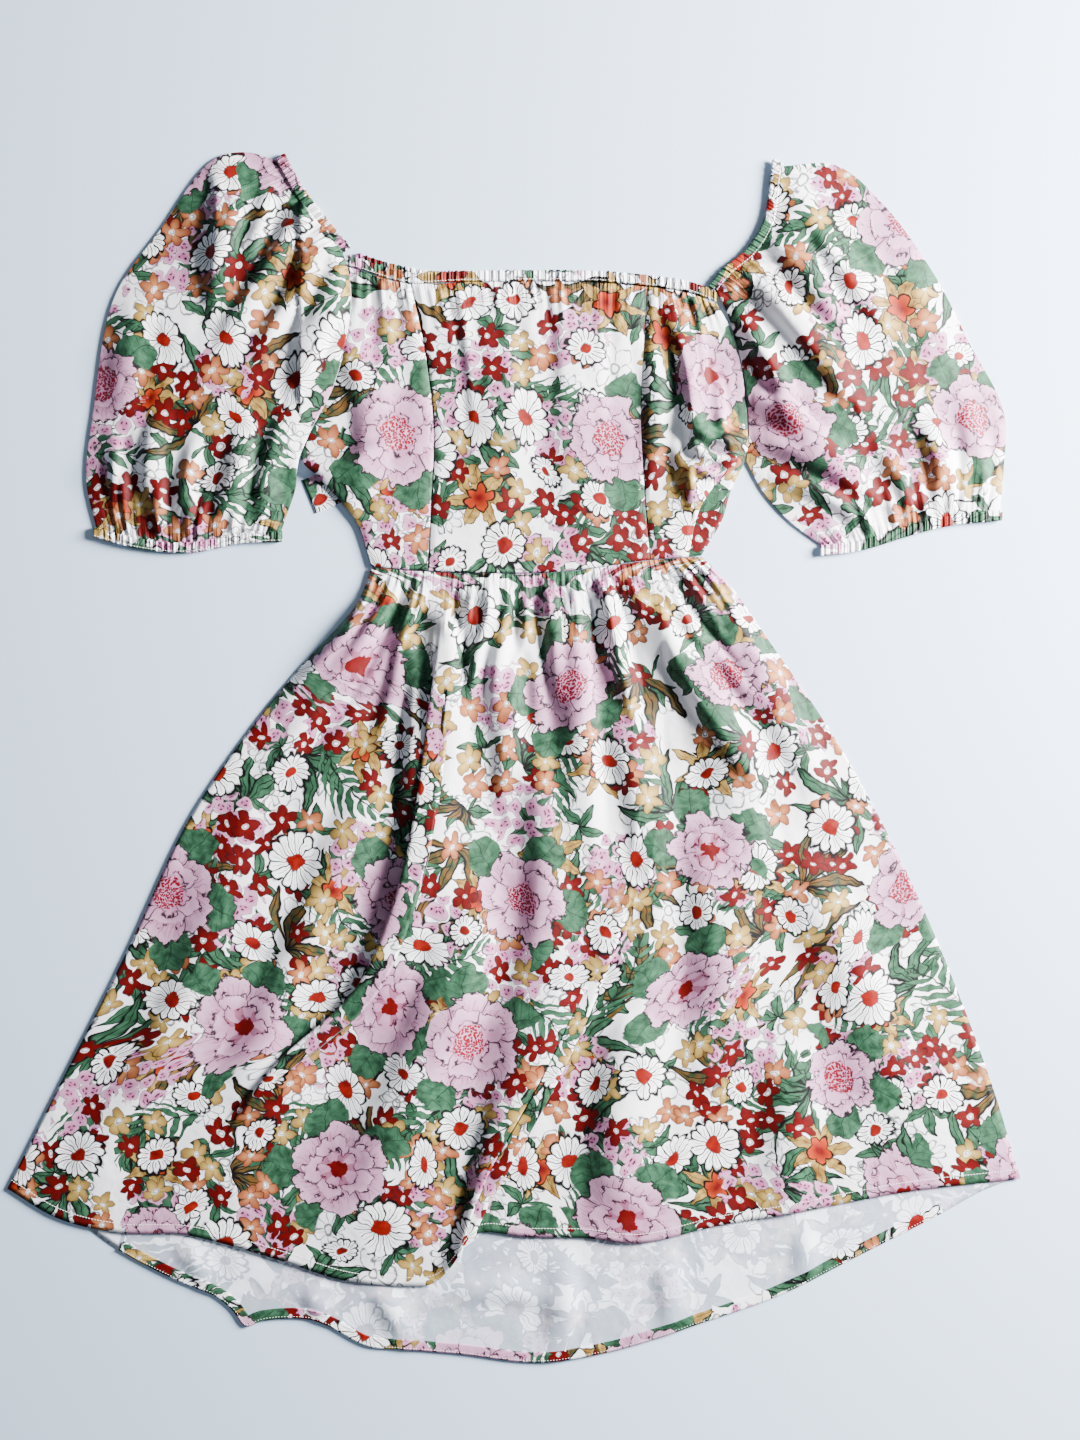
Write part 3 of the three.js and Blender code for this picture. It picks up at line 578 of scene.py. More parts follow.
# %% Motifs and masks
class Spot:
    """One layer of scattered motifs: the distance and angle from the nearest centre, and its chances."""

    def __init__(self, place, spacing, shift, loose, lean=0.0):
        size = (1 / spacing, 1 / spacing, 1.0)
        shift = (*shift, 0.0)
        points = {"vector_type": "POINT"}
        cell = place.node("ShaderNodeMapping", points, Vector=place, Location=shift, Scale=size)
        found = cell.tree.nodes.new("ShaderNodeTexVoronoi")
        found.voronoi_dimensions = "2D"
        found.inputs["Scale"].default_value = 1.0
        found.inputs["Randomness"].default_value = loose
        cell.tree.links.new(cell.socket, found.inputs["Vector"])
        self.centre = Signal(cell.tree, found.outputs["Position"])
        self.a, self.b, self.c = Signal(cell.tree, found.outputs["Color"]).parts()
        self.x, self.y, _ = [part * spacing for part in cell.vector("SUBTRACT", self.centre).parts()]
        self.measure()
        if lean:
            self.x, self.y = self.turned(self.b)
            self.y = self.y * (1 + self.a * lean)
            self.measure()

    def measure(self):
        self.far = (self.x * self.x + self.y * self.y).maths("SQRT")
        self.angle = self.y.maths("ARCTAN2", self.x)

    def petals(self, count, turn=None, swirl=0.0):
        """How far along each petal's width a point is: 0 on its middle line and 1 at both sides."""
        angle = self.angle + self.far * swirl if swirl else self.angle
        turned = angle * (count / (2 * math.pi)) + (self.b if turn is None else turn) * count
        return abs(turned.maths("FRACT") - 0.5) * 2

    def turned(self, turn):
        """x and y in a frame turned by a share of a full turn."""
        angle = self.angle + turn * (2 * math.pi)
        return self.far * angle.maths("COSINE"), self.far * angle.maths("SINE")

    def fan(self, turn):
        """The share of a full turn that a point lies past a chance direction."""
        return (self.angle * (1 / (2 * math.pi)) + turn).maths("FRACT")

    def pointed(self, long, wide):
        """The half width of a leaf that starts at the centre and ends in a point."""
        return ((self.far / long).maths("MINIMUM", 1.0) * math.pi).maths("SINE") * wide

    def grouped(self, scale, share):
        """1 for the motifs whose centres fall in loose groups."""
        return self.centre.noise(scale, 0.0).over(share, share + SUDDEN)


def inside(value, limit, soft=0.5):
    """1 where value is below limit."""
    if isinstance(limit, Signal):
        return (limit - value).over(-soft, soft)
    return value.over(limit + soft, limit - soft)


def line_at(value, width=LINE):
    """1 where value is near 0."""
    return abs(value).over(width * 1.5, width * 0.5)


def either(*masks):
    """The strongest of several masks."""
    found = masks[0]
    for mask in masks[1:]:
        found = found.maths("MAXIMUM", mask)
    return found


def some(chance, share):
    """1 for the motifs whose chance number is above a share."""
    return chance.over(share, share + SUDDEN)


class Hand:
    """What a painter's hand adds to every layer: places that wander a little and paint that pools."""

    def __init__(self, place):
        rough = place.noise(0.045, 2.0, output=1).vector("SUBTRACT", (0.5, 0.5, 0.5))
        self.place = place.vector("ADD", rough.vector("MULTIPLY", (12.0, 12.0, 0.0)))
        wash = self.place.noise(0.11, 3.0)
        self.wobble = (wash - 0.5) * 9
        self.tint = ((wash - 0.5) * 2.2 + 0.5).held()
        self.broken = wash.over(0.38, 0.48)


print("a drawn line fades from", LINE * 0.5, "to", LINE * 1.5, "mm off its middle")

# %% [markdown]
# ## Leaves
#
# The lowest layers fill the ground: pale line drawings of flowers, then small sprigs, long bowed blades
# in half fans, and palm fronds. A leaf is as wide as the sine of its share of the length, which gives
# it a point at both ends. A frond's leaflets are slanted stripes, cut off by a bowed outline.


# %% Leaves
def draw_outlines(hand):
    """Flowers drawn in pale lines on the bare ground."""
    drawn = []
    for spacing, shift, count, size in ((62, (6.1, 2.7), 9, 20), (86, (0.3, 0.7), 6, 25)):
        spot = Spot(hand.place, spacing, shift, 0.75, lean=0.5)
        side = spot.petals(count)
        edge = (1 - side * side * 0.4) * size + hand.wobble
        parting = inside((1 - side) * spot.far, 1.6, 0.6) * inside(spot.far, edge) * spot.far.over(5, 9)
        drawn.append(either(line_at(spot.far - edge), parting, line_at(spot.far - 5)))
    return (either(*drawn) * 0.85).mix(GROUND, DRAWING)


def draw_sprigs(cloth, hand):
    spot = Spot(hand.place, 64, (2.2, 9.6), 0.75)
    width = spot.pointed(27, 5.2)
    across = spot.petals(5, swirl=-0.012) * spot.far * (math.pi / 5)
    shown = inside(spot.fan(spot.a), 0.78, 0.002) * inside(spot.far, 27)
    cloth = (inside(across, width) * shown).mix(cloth, hand.tint.mix(LEAF, DARK_LEAF))
    return (either(line_at(across, 0.4), line_at(across - width, 0.6)) * shown).mix(cloth, INK)


def draw_blades(cloth, hand):
    spot = Spot(hand.place, 98, (7.7, 1.4), 0.8)
    width = spot.pointed(62, 6.2)
    across = spot.petals(9, swirl=0.009) * spot.far * (math.pi / 9)
    shown = inside(spot.fan(spot.a), 0.46, 0.002)
    green = some(spot.c, 0.3).mix(OCHRE, LEAF)
    cloth = (inside(across, width) * shown).mix(cloth, hand.tint.mix(DARK_LEAF, green))
    ribs = either(line_at(across, 0.45), line_at(across - width)) * shown * inside(spot.far, 62)
    return ribs.mix(cloth, INK)


def draw_fronds(cloth, hand):
    """Pointed leaflets sweep away from both sides of a bowed stem."""
    spot = Spot(hand.place, 122, (4.1, 2.2), 0.7)
    x, y = spot.turned(spot.b)
    bow = y - x * x * 0.005
    spine = abs(bow)
    room = (1 - (x / 54) * (x / 54)).maths("MAXIMUM", 0.02) * 30
    reach = spine / room
    leaflet = abs(((x - spine * 0.8 - reach * spine * 0.4) / 13).maths("FRACT") - 0.5) * 2
    width = (reach.maths("MINIMUM", 1.0) ** 0.6 * math.pi).maths("SINE") * 0.66
    shown = inside(abs(x), 53) * inside(reach, 1.0, 0.02)
    cloth = (inside(leaflet, width, 0.08) * shown).mix(cloth, hand.tint.mix(DARK_LEAF, LEAF))
    rims = either(line_at(leaflet - width, 0.08) * shown, line_at(bow, 0.8) * inside(abs(x), 56))
    return rims.mix(cloth, LEAF_LINE)


print("leaves: outlines, sprigs, blades and fronds")

# %% [markdown]
# ## Small flowers
#
# Next come rust flowers on ochre star leaves, clusters of tiny lilac blossoms, and strings of small
# flowers in red, peach and straw. A star is a circle whose edge is pulled in between its points. The
# strings come from a noise that hides the centres outside loose groups.


# %% Small flowers
def draw_stars(cloth, hand):
    spot = Spot(hand.place, 148, (2.9, 8.3), 0.7, lean=0.4)
    side = spot.petals(7)
    edge = (1 - side**0.8 * 0.62) * 38 + hand.wobble
    mask = inside(spot.far, edge)
    cloth = mask.mix(cloth, hand.tint.mix(OCHRE, STRAW))
    cloth = either(line_at(spot.far - edge), line_at(side * spot.far, 0.6) * mask * 0.8).mix(cloth, BROWN)
    edge = (1 - spot.petals(5) ** 1.4 * 0.4) * 16 + hand.wobble * 0.5
    cloth = inside(spot.far, edge).mix(cloth, spot.far.over(2, 14).mix(RED, STAR_RIM))
    return line_at(spot.far - edge).mix(cloth, INK)


def draw_blossoms(cloth, hand):
    spot = Spot(hand.place, 120, (5.2, 5.9), 0.7)
    small = Spot(hand.place, 15, (0.4, 0.2), 0.7)
    cluster = inside(spot.far, 34 + hand.wobble * 2, 1)
    edge = 8.2 - small.petals(4) * 1.8
    bloom = inside(small.far, edge) * cluster
    cloth = bloom.mix(cloth, small.far.over(1, 8).mix(BLOSSOM_HEART, PALE_LILAC))
    dots = inside(abs(small.far - 2.6), 0.7) * small.petals(3).over(0.4, 0.6)
    return ((dots + line_at(small.far - edge, 0.4) * 0.7) * cluster).maths("MINIMUM", 1.0).mix(cloth, INK)


def draw_strings(cloth, hand):
    for shift, share in (((3.3, 6.6), 0.47), ((8.8, 1.9), 0.53)):
        spot = Spot(hand.place, 37, shift, 0.55, lean=0.25)
        side = spot.petals(5)
        edge = (1 - side**1.6 * 0.5) * (13 + spot.c * 3.5) + hand.wobble * 0.5
        here = spot.grouped(0.33, share)
        mask = inside(spot.far, edge) * here
        reddish, peachy = some(spot.a, 0.52), some(spot.b, 0.5)
        deep = reddish.mix(peachy.mix(STRAW, PEACH), RED)
        edged = reddish.mix(peachy.mix(OCHRE, RUST), RED_RIM)
        cloth = mask.mix(cloth, ((spot.far / edge).over(0.4, 1.0) * 0.75).mix(deep, edged))
        rims = either(line_at(spot.far - edge, 0.5), side.over(0.9, 0.98) * mask)
        cloth = (rims * here * 0.8).mix(cloth, reddish.mix(BROWN, RED_LINE))
        cloth = (inside(spot.far, 2.8 + hand.wobble * 0.3) * here).mix(cloth, GROUND)
        cloth = (inside(abs(spot.far - 1.9), 0.4) * here).mix(cloth, INK)
    return cloth


print("small flowers: stars, blossoms and strings")

# %% [markdown]
# ## Daisies
#
# The daisies' petals are as white as the ground and show only by their lines, so the lines are firm:
# one between each two petals, a short vein down each, and one round the edge. The eye is orange.


# %% Daisies
def draw_daisies(cloth, hand):
    spot = Spot(hand.place, 76, (9.1, 3.7), 0.66, lean=0.8)
    reach = 18 + spot.c * 15
    side = spot.petals(15)
    edge = reach * (1 - side * side * 0.16) + hand.wobble * 0.7
    here = spot.grouped(0.9, 0.38)
    mask = inside(spot.far, edge) * here
    cloth = mask.mix(cloth, WHITE)
    gaps = inside((1 - side) * spot.far, 3.0, 0.8) * spot.far.over(7, 9)
    short = spot.far.over(9, 11) * inside(spot.far / edge, 0.76, 0.02)
    veins = line_at(side * spot.far, 1.5) * short * 0.8
    cloth = (either(gaps, veins) * mask).mix(cloth, INK)
    cloth = (line_at(spot.far - edge, 1.8) * here).mix(cloth, INK)
    core = reach * 0.3 + hand.wobble * 0.4
    cloth = (inside(spot.far, core) * here).mix(cloth, hand.tint.mix(RED, ORANGE))
    return (line_at(spot.far - core, 0.5) * here * 0.7).mix(cloth, BROWN)


print("daisies:", WHITE, "round", ORANGE)

# %% [markdown]
# ## Big blooms
#
# On top lie the big blooms, each over a collar of broad leaves. A bloom is three rings of petals, one
# inside the other, shaded darker where a ring goes under the next, with broken lines round the inner
# rings. Half of them have a solid heart with rays, and the others a heart of dots.


# %% Big blooms
def draw_collars(cloth, hand, spot, size):
    """The broad leaves under the blooms."""
    side = spot.petals(5, spot.a, swirl=0.004)
    edge = (1 - side * side * 0.55) * (size + 26) + hand.wobble
    turned = spot.fan(spot.b)
    leaf = inside(spot.far, edge) * inside(side, 0.66, 0.03) * inside(turned, 0.66, 0.002)
    cloth = leaf.mix(cloth, hand.tint.mix(DARK_LEAF, LEAF))
    veins = line_at(((spot.far / 8 - side * 2.6).maths("FRACT") - 0.5) * 8, 0.35)
    veins = either(veins * 0.7, line_at(side * spot.far, 0.6), line_at(side - 0.66, 0.012) * 0.9)
    rim = line_at(spot.far - edge, 0.5) * inside(side, 0.66) * inside(turned, 0.66)
    return either(veins * leaf * 0.8, rim).mix(cloth, LEAF_LINE)


def draw_blooms(cloth, hand):
    spot = Spot(hand.place, 184, (1.6, 4.4), 0.62, lean=0.22)
    size = 38 + spot.c * 15
    cloth = draw_collars(cloth, hand, spot, size)

    outer = spot.petals(6, swirl=0.005)
    edge = size * (1 - outer * outer * 0.16) + hand.wobble * 2
    middle = spot.petals(5, spot.c, swirl=-0.006)
    ring = size * 0.7 * (1 - middle * middle * 0.2) + hand.wobble * 2.4
    inner = spot.petals(5, spot.a, swirl=0.008)
    heart = size * 0.42 * (1 - inner * inner * 0.25) + hand.wobble * 2
    mask = inside(spot.far, edge)

    past_ring, past_heart = [((spot.far - start) / 16).held() for start in (ring, heart)]
    light = past_ring * inside(ring, spot.far, 0.1)
    light = light + past_heart * inside(heart, spot.far, 0.1) * inside(spot.far, ring, 0.1)
    light = (light * 0.8 + spot.far.over(50, 8) * 0.15 + hand.tint * 0.35).held()
    cloth = mask.mix(cloth, light.mix(LILAC, PALE_LILAC))

    ring_lines = either(line_at(spot.far - ring) * hand.broken, line_at(spot.far - heart) * hand.broken)
    rims = either(line_at(spot.far - edge), ring_lines)
    splits = either(
        outer.over(0.93, 0.99) * inside(ring, spot.far),
        middle.over(0.92, 0.99) * inside(heart, spot.far) * inside(spot.far, ring),
    )
    threads = line_at(((outer * 4).maths("FRACT") - 0.5) * spot.far * 0.3, 0.5)
    threads = threads * inside(spot.far / ring, 1.25, 0.02) * inside(ring, spot.far) * 0.8
    cloth = (either(rims, splits * mask, threads * mask) * 0.95).mix(cloth, INK)

    flat = {"voronoi_dimensions": "2D"}
    grains = hand.place.node("ShaderNodeTexVoronoi", flat, Vector=hand.place, Scale=0.4, Randomness=0.8)
    dotted = inside(grains, 0.46, 0.08) * inside(spot.far, 17 + hand.wobble)
    solid = inside(spot.far, 10 + hand.wobble * 1.6)
    kind = some(spot.b, 0.5)
    rays = inner.over(0.5, 0.56) * inside(spot.far, 19 + hand.wobble) * 0.5
    cloth = (kind * rays).mix(cloth, CRIMSON)
    return (kind * solid + (1 - kind) * dotted).mix(cloth, kind.mix(BLOOM_DOTS, RED))


LAYERS = (
    draw_sprigs, draw_blades, draw_fronds, draw_stars, draw_blossoms, draw_strings, draw_daisies,
    draw_blooms,
)  # fmt: skip


def draw_print(place):
    """The colour of the print at a place on the cloth, in millimetres."""
    hand = Hand(place)
    cloth = draw_outlines(hand)
    for draw in LAYERS:
        cloth = draw(cloth, hand)
    return cloth


print("the print has", len(LAYERS) + 1, "layers")


# %% [markdown]
# ## Cloth materials
#
# The cloth is a fine smooth crepe. Its threads are far below a millimetre, so they are a bump, with a
# slower bump for the faint creases that a folded dress keeps. Beside the elastic and the waist seam the
# finest gathers are a bump too: a noise drawn out along them, as strong as the "gathers" map says. A
# little sheen lifts the edges that turn away, as fine fibres do. The wrong side is the same print seen
# through the cloth: dull and bluish.

# %% Cloth materials
GATHER_DEPTH = 0.0034
GATHER_SCALE = 0.26
CREASE_DEPTH = 0.0022
CREPE_DEPTH = 0.0001
WEAVE_DEPTH = 0.00004
SEEN_THROUGH = colour(204, 216, 240)


def cloth_height(place, gathers, slow, crinkle):
    """The height of the finest relief, in metres."""
    weave_across, weave_down, _ = place.vector("MULTIPLY", (9.0, 9.0, 0.0)).parts()
    weave = weave_across.maths("SINE") * weave_down.maths("SINE")
    fine = place.noise(0.35, 2.0)
    along, strength, _ = gathers.parts()
    drift = along.node("ShaderNodeCombineXYZ", X=along * 1000, Y=strength * 1.6)
    pleats = drift.noise(GATHER_SCALE, 1.5) * strength * GATHER_DEPTH
    return weave * WEAVE_DEPTH + slow * CREASE_DEPTH * crinkle + fine * CREPE_DEPTH + pleats


def cloth_material(name, through=0.0, crinkle=0.6):
    """The printed cloth. "through" is how much the print pales as it is seen from behind."""
    material, tree, shader = new_material(name)
    first_map, gathers = (Signal(tree, tree.nodes.new("ShaderNodeUVMap").outputs[0]) for _ in range(2))
    gathers.socket.node.uv_map = "gathers"
    place = first_map.vector("MULTIPLY", (1000.0, 1000.0, 0.0))
    paint = draw_print(place)
    if through:
        washed = paint.node("ShaderNodeHueSaturation", Color=paint, Saturation=0.55, Value=1.0)
        blend = {"data_type": "RGBA"}
        paint = paint.node("ShaderNodeMix", blend, 2, i0=through, i6=washed, i7=SEEN_THROUGH)
    slow = place.noise(0.03, 2.5)
    height = cloth_height(place, gathers, slow, crinkle)
    bump = height.node("ShaderNodeBump", Height=height, Strength=1.0, Distance=1.0)
    place.feed(shader.inputs["Base Color"], paint)
    place.feed(shader.inputs["Normal"], bump)
    place.feed(shader.inputs["Roughness"], slow * 0.25 + 0.4)
    shader.inputs["Sheen Weight"].default_value = 0.02
    shader.inputs["Sheen Roughness"].default_value = 0.4
    shader.inputs["Specular IOR Level"].default_value = 0.14
    return material


printed = cloth_material("printed cloth", crinkle=0.95)
reverse = cloth_material("wrong side", through=0.5, crinkle=0.8)
print(len(printed.node_tree.nodes), "nodes in the print")


# %% [markdown]
# ## Gathers and seams
#
# Gathers are never even: each is a little wider or higher than the next. A cosine whose phase wanders
# gives that, from a seed, so that it is the same each time. A panel's edge is turned under at its seam,
# so the cloth dips there: the dip is what makes a seam show. High folds flop over, so heights are eased.

# %% Gathers and seams
SEAM_DIP = 0.0012
SEAM_REACH = 0.004
FREE_HEIGHT = 0.016
SPARE_HEIGHT = 0.010


def ripples(u, waves, seed):
    """Uneven gathers across a panel, from 0 to 1."""
    chance = np.random.default_rng(seed)
    phase, wander = chance.uniform(0, 6.28, 3), chance.uniform(1.5, 4.5, 3)
    drift = sum(0.3 * np.sin(6.28 * w * u + p) for w, p in zip(wander, phase))
    swell = 0.65 + 0.35 * np.sin(6.28 * wander[0] * 1.7 * u + phase[1])
    return (0.5 - 0.5 * np.cos(6.28 * waves * u + drift * 2)) * swell


def seam_dips(u, xy):
    """How far the edges of a panel turn down at its side seams."""
    width = np.linalg.norm(xy[:, -1] - xy[:, 0], axis=1)[:, None]
    return SEAM_DIP * np.exp(-((np.minimum(u, 1 - u) * width / SEAM_REACH) ** 2))


def raised(xy, z):
    """Points in space. Cloth flops over as it stands higher, so heights near the top are eased."""
    above = np.maximum(z - FREE_HEIGHT, 0)
    eased = np.minimum(z, FREE_HEIGHT) + SPARE_HEIGHT * (1 - np.exp(-above / SPARE_HEIGHT))
    return np.concatenate([xy, eased[..., None]], -1)


print("no cloth stands over", FREE_HEIGHT + SPARE_HEIGHT, "m")

# %% [markdown]
# ## The bodice
#
# Four pieces make the bodice: a back, a front centre and two fronts at the sides, joined by princess
# seams, which shape a front to the body without darts. Under the elastic the cloth is gathered. The
# panels reach a little way under the casing of the neckline, which is folded from the same cloth, so
# the place of each panel's top edge on the print is kept for the casing.

# %% The bodice
BODICE_ROWS = 110
BODICE_CLEAR = 0.0012
BODICE_SWELL = 0.0015
BODICE_FINE = 0.0018
BODICE_LONG = 0.0028
UNDER_CASING = 0.0004


def neckline(below):
    """The line where a panel meets the casing of the neckline, in millimetres below the casing."""
    return Line(at([(across, down + CASING_DEPTH * 1000 + below) for across, down in NECK_FRONT]))


def share_at(line, x):
    return float(np.interp(x, line.points[:, 0], line.shares))


def bodice_height(u, v, xy, gathers, seed):
    rest = FRONT_Z + tie_lift(xy)
    rim = np.sin(np.pi * u) ** 0.5 * np.sin(np.pi * np.minimum(v + 0.06, 1)) ** 0.5
    fine = ripples(u, gathers, seed) * BODICE_FINE * (1 - fade(0, 0.2, v)) * fade(-0.005, 0.03, v)
    slow = ripples(u, gathers / 3, seed + 1) * BODICE_LONG * (1 - fade(0.1, 0.7, v)) * fade(0, 0.05, v)
    z = rest + BODICE_CLEAR + BODICE_SWELL * rim + fine + slow + ridges(FOLDS, xy)
    z = np.maximum(z - seam_dips(u, xy), rest)
    return z + (FRONT_CASING_Z - UNDER_CASING - z) * (1 - fade(0, 0.025, v))


def bodice_panel(node, left, right, columns, gathers, seed, cut):
    """A front panel between two lines, cut from the print so far to the right."""
    neck, waist = neckline(-TUCKED), Line(at(WAIST))
    left, right = Line(left), Line(right)
    edges = {
        "top": neck.part(share_at(neck, left.at(0)[0]), share_at(neck, right.at(0)[0])),
        "bottom": waist.part(share_at(waist, left.at(1)[0]), share_at(waist, right.at(1)[0])),
        "left": left,
        "right": right,
    }
    u, v = spread(columns, BODICE_ROWS)
    xy = patch(edges, u, v)
    places = raised(xy, bodice_height(u, v, xy, gathers, seed))
    flat = laid(places, (cut, 0.0))
    below_elastic = np.linalg.norm(xy - xy[:1], axis=-1)
    obj = add_grid(f"{node}_cloth", places, flat, gathered_at(below_elastic, xy[:1, :, 0]))
    neck_prints.append(np.column_stack([xy[0, :, 0], flat[0, :, 0]]))
    finish_sheet(obj, CLOTH, printed, reverse)
    return declare(obj, node, cut_of(places))


def moved(points, across):
    return at([(x + across, y) for x, y in points])


neck_prints = []
bodice_back_edges = {
    "top": neckline(BACK_NECK_GAP), "bottom": Line(at(WAIST)),
    "left": Line(at(BODICE_LEFT)), "right": Line(at(BACK_RIGHT_SIDE)),
}  # fmt: skip
u, v = spread(90, 80)
xy = patch(bodice_back_edges, u, v)
back_places = raised(xy, BACK_Z + tie_lift(xy))
bodice_back = add_grid("bodice_back_cloth", back_places, laid(back_places))
finish_sheet(bodice_back, CLOTH, printed, reverse)
declare(bodice_back, "bodice_back", cut_of(back_places))
before, after = -SEAM / 2, SEAM / 2
for node, left, right, columns, gathers, seed, cut in (
    ("bodice_front_left", at(BODICE_LEFT), moved(PRINCESS_LEFT, before), 56, 8, 3, -0.36),
    ("bodice_front_centre", moved(PRINCESS_LEFT, after), moved(PRINCESS_RIGHT, before), 130, 21, 5, 0.08),
    ("bodice_front_right", moved(PRINCESS_RIGHT, after), at(FRONT_RIGHT_SIDE), 56, 7, 9, 0.52),
):
    bodice_panel(node, left, right, columns, gathers, seed, cut)

# %% [markdown]
# ## The skirt's folds over itself
#
# In two places the front has folded over itself when it was laid down. Such a fold is a flat S in
# section: out under the edge, back over itself and out again. The section is given once: how far each
# of its points reaches under the fold, as a share of the fold's depth, and how far it stands aside and
# how high it lies, in millimetres. The smooth curve through them is worked out in centimetres. A fold
# opens and closes on its way down, and it stands highest at one place.

# %% The skirt's folds over itself
OVERLAPS = [
    {
        "line": [(438, 600), (432, 690), (414, 827), (396, 899), (357, 988), (276, 1062), (221, 1131)],
        "way": 1, "deep": 0.017, "opens": (0.06, 0.24), "closes": (0.7, 0.88), "stands": 0.43,
    },
    {
        "line": [(650, 600), (652, 760), (632, 900), (588, 1013), (545, 1100), (500, 1180), (470, 1240)],
        "way": -1, "deep": 0.013, "opens": (0.46, 0.7), "closes": (1.2, 1.3), "stands": 0.85,
    },
]  # fmt: skip
OVERLAP_REACH = [0, 1, 1, 1, 0, 0, 0, 1]
OVERLAP_ASIDE = [-8, -2, 0.4, -1.6, 2, -0.6, 1.4, 4]
OVERLAP_RISE = [0, 0, 1.4, 3.4, 4, 5.8, 8, 8.4]
OVERLAP_POINTS = 29
OVERLAP_SHUT = 0.02
OVERLAP_STANDS = 0.6
OVERLAP_STANDS_FOR = 0.13


def through_overlap(fold, v):
    """How far each point of an overlap moves aside and up, for each row."""
    aside, rise = np.array(OVERLAP_ASIDE) / 10, np.array(OVERLAP_RISE) / 10
    section = Line(np.column_stack([OVERLAP_REACH, aside, rise]))
    points = section.at(np.linspace(0, 1, OVERLAP_POINTS))
    if fold["way"] < 0:
        points = points[::-1]
    is_open = (fade(*fold["opens"], v) * (1 - fade(*fold["closes"], v)))[:, None]
    folded = fold["way"] * (points[:, 0] * fold["deep"] * is_open + points[:, 1] / 100)
    flat = (np.linspace(0, 1, OVERLAP_POINTS) - 0.5) * OVERLAP_SHUT
    shift = flat + (folded - flat) * is_open**1.5
    stands = 1 + OVERLAP_STANDS * np.exp(-(((v - fold["stands"]) / OVERLAP_STANDS_FOR) ** 2))[:, None]
    return shift, points[:, 2] / 100 * np.minimum(1, is_open * 1.8) * stands


print(len(OVERLAPS), "places where the skirt folds over itself")

# %% [markdown]
# ## The skirt front
#
# A gathered skirt is a wide trapezoid drawn up into a short waist seam. Nearly forty gathers start at
# the seam, and the strong ones run on down the skirt. Rows of the sheet pass through each overlap, and
# the print jumps where it does, as it should. Beside an overlap the cloth lies on the fold and sinks
# slowly to the layer below.

# %% The skirt front
SKIRT_CUT = (0.13, -0.47)
SKIRT_ROWS = 170
ROWS_CROWD_UP = 1.12
SKIRT_COLUMNS = (64, 56, 74)
SKIRT_CLEAR = 0.0015
SKIRT_SWELL = 0.003
SKIRT_SLOW = 0.006
OVERLAP_CLEAR = 0.014
OVERLAP_SINKS = 0.05
WAIST_GATHERS = 38
WAIST_FINE = 0.0058
WAIST_LONG = 0.0066
WAIST_REACH = 0.02
WAIST_SEAM = 1

below_waist = [(across, down + WAIST_SEAM) for across, down in WAIST]
skirt_edges = {
    "top": Line(at(below_waist)),
    "bottom": Line(at(FRONT_HEM)),
    "left": Line(at([below_waist[0], *SKIRT_LEFT[1:]])),
    "right": Line(at([below_waist[-1], *SKIRT_RIGHT[1:]])),
}


def crossing(line, v):
    """Where a line crosses each row of the skirt, as a share of the row."""
    across = np.linspace(0, 1, 1200)
    dense = Line(at(line)).at(np.linspace(0, 1, 240))
    found = []
    for row in v:
        points = patch(skirt_edges, across, np.full_like(across, row))
        far = ((points[:, None] - dense[None]) ** 2).sum(-1).min(1)
        found.append(across[far.argmin()])
    return np.convolve(np.pad(found, 4, mode="edge"), np.ones(9) / 9, "valid")


def skirt_height(xy, u, v):
    rim = np.sin(np.pi * np.clip(u, 0, 1)) ** 0.5
    swell = SKIRT_SWELL * fade(0, 0.25, v) * (1 - fade(0.8, 1, v))
    fine = ripples(u, WAIST_GATHERS, 11) * WAIST_FINE * fade(-0.004, 0.016, v) * (1 - fade(0.03, 0.15, v))
    long = ripples(u, WAIST_GATHERS / 2.4, 12) * WAIST_LONG * (1 - fade(0.06, 0.42, v)) * fade(0, 0.05, v)
    slow = ripples(u, 7, 13) * SKIRT_SLOW * fade(0.1, 0.5, v) * (1 - fade(0.9, 1, v))
    base = FRONT_Z + tie_lift(xy) + (SKIRT_CLEAR + swell) * rim
    return base + (fine + long + slow) * rim**0.5 + ridges(FOLDS, xy) * rim**0.3


def beside_overlap(index, part, columns, rim, width, v):
    """How much higher the cloth lies on one side of an overlap, and sinks with distance."""
    if not 0 <= index < len(OVERLAPS) or (OVERLAPS[index]["way"] > 0) != (index < part):
        return 0
    top = through_overlap(OVERLAPS[index], v)[1].max(axis=1)
    far = np.abs(columns - rim[:, None]) * width[:, None]
    return top[:, None] * (1 - fade(0, OVERLAP_SINKS, far))


def skirt_columns(v):
    """Each row's shares across the skirt, through the overlaps, and the rise that the overlaps add."""
    bounds = [np.zeros_like(v), *[crossing(fold["line"], v) for fold in OVERLAPS], np.ones_like(v)]
    row = patch(skirt_edges, np.ones_like(v), v) - patch(skirt_edges, np.zeros_like(v), v)
    width = np.linalg.norm(row, axis=-1)
    clear = OVERLAP_CLEAR / width
    blocks, rises = [], []
    for part, count in enumerate(SKIRT_COLUMNS):
        start = bounds[part] + (clear if part else 0)
        end = bounds[part + 1] - (clear if part < len(OVERLAPS) else 0)
        t = np.linspace(0, 1, count)[None]
        columns = start[:, None] * (1 - t) + end[:, None] * t
        rise = np.zeros_like(columns)
        for index, rim in ((part - 1, start), (part, end)):
            rise += beside_overlap(index, part, columns, rim, width, v)
        blocks.append(columns)
        rises.append(rise)
        if part < len(OVERLAPS):
            shift, rise = through_overlap(OVERLAPS[part], v)
            blocks.append(bounds[part + 1][:, None] + shift / width[:, None])
            rises.append(rise)
    return np.concatenate(blocks, 1), np.concatenate(rises, 1)


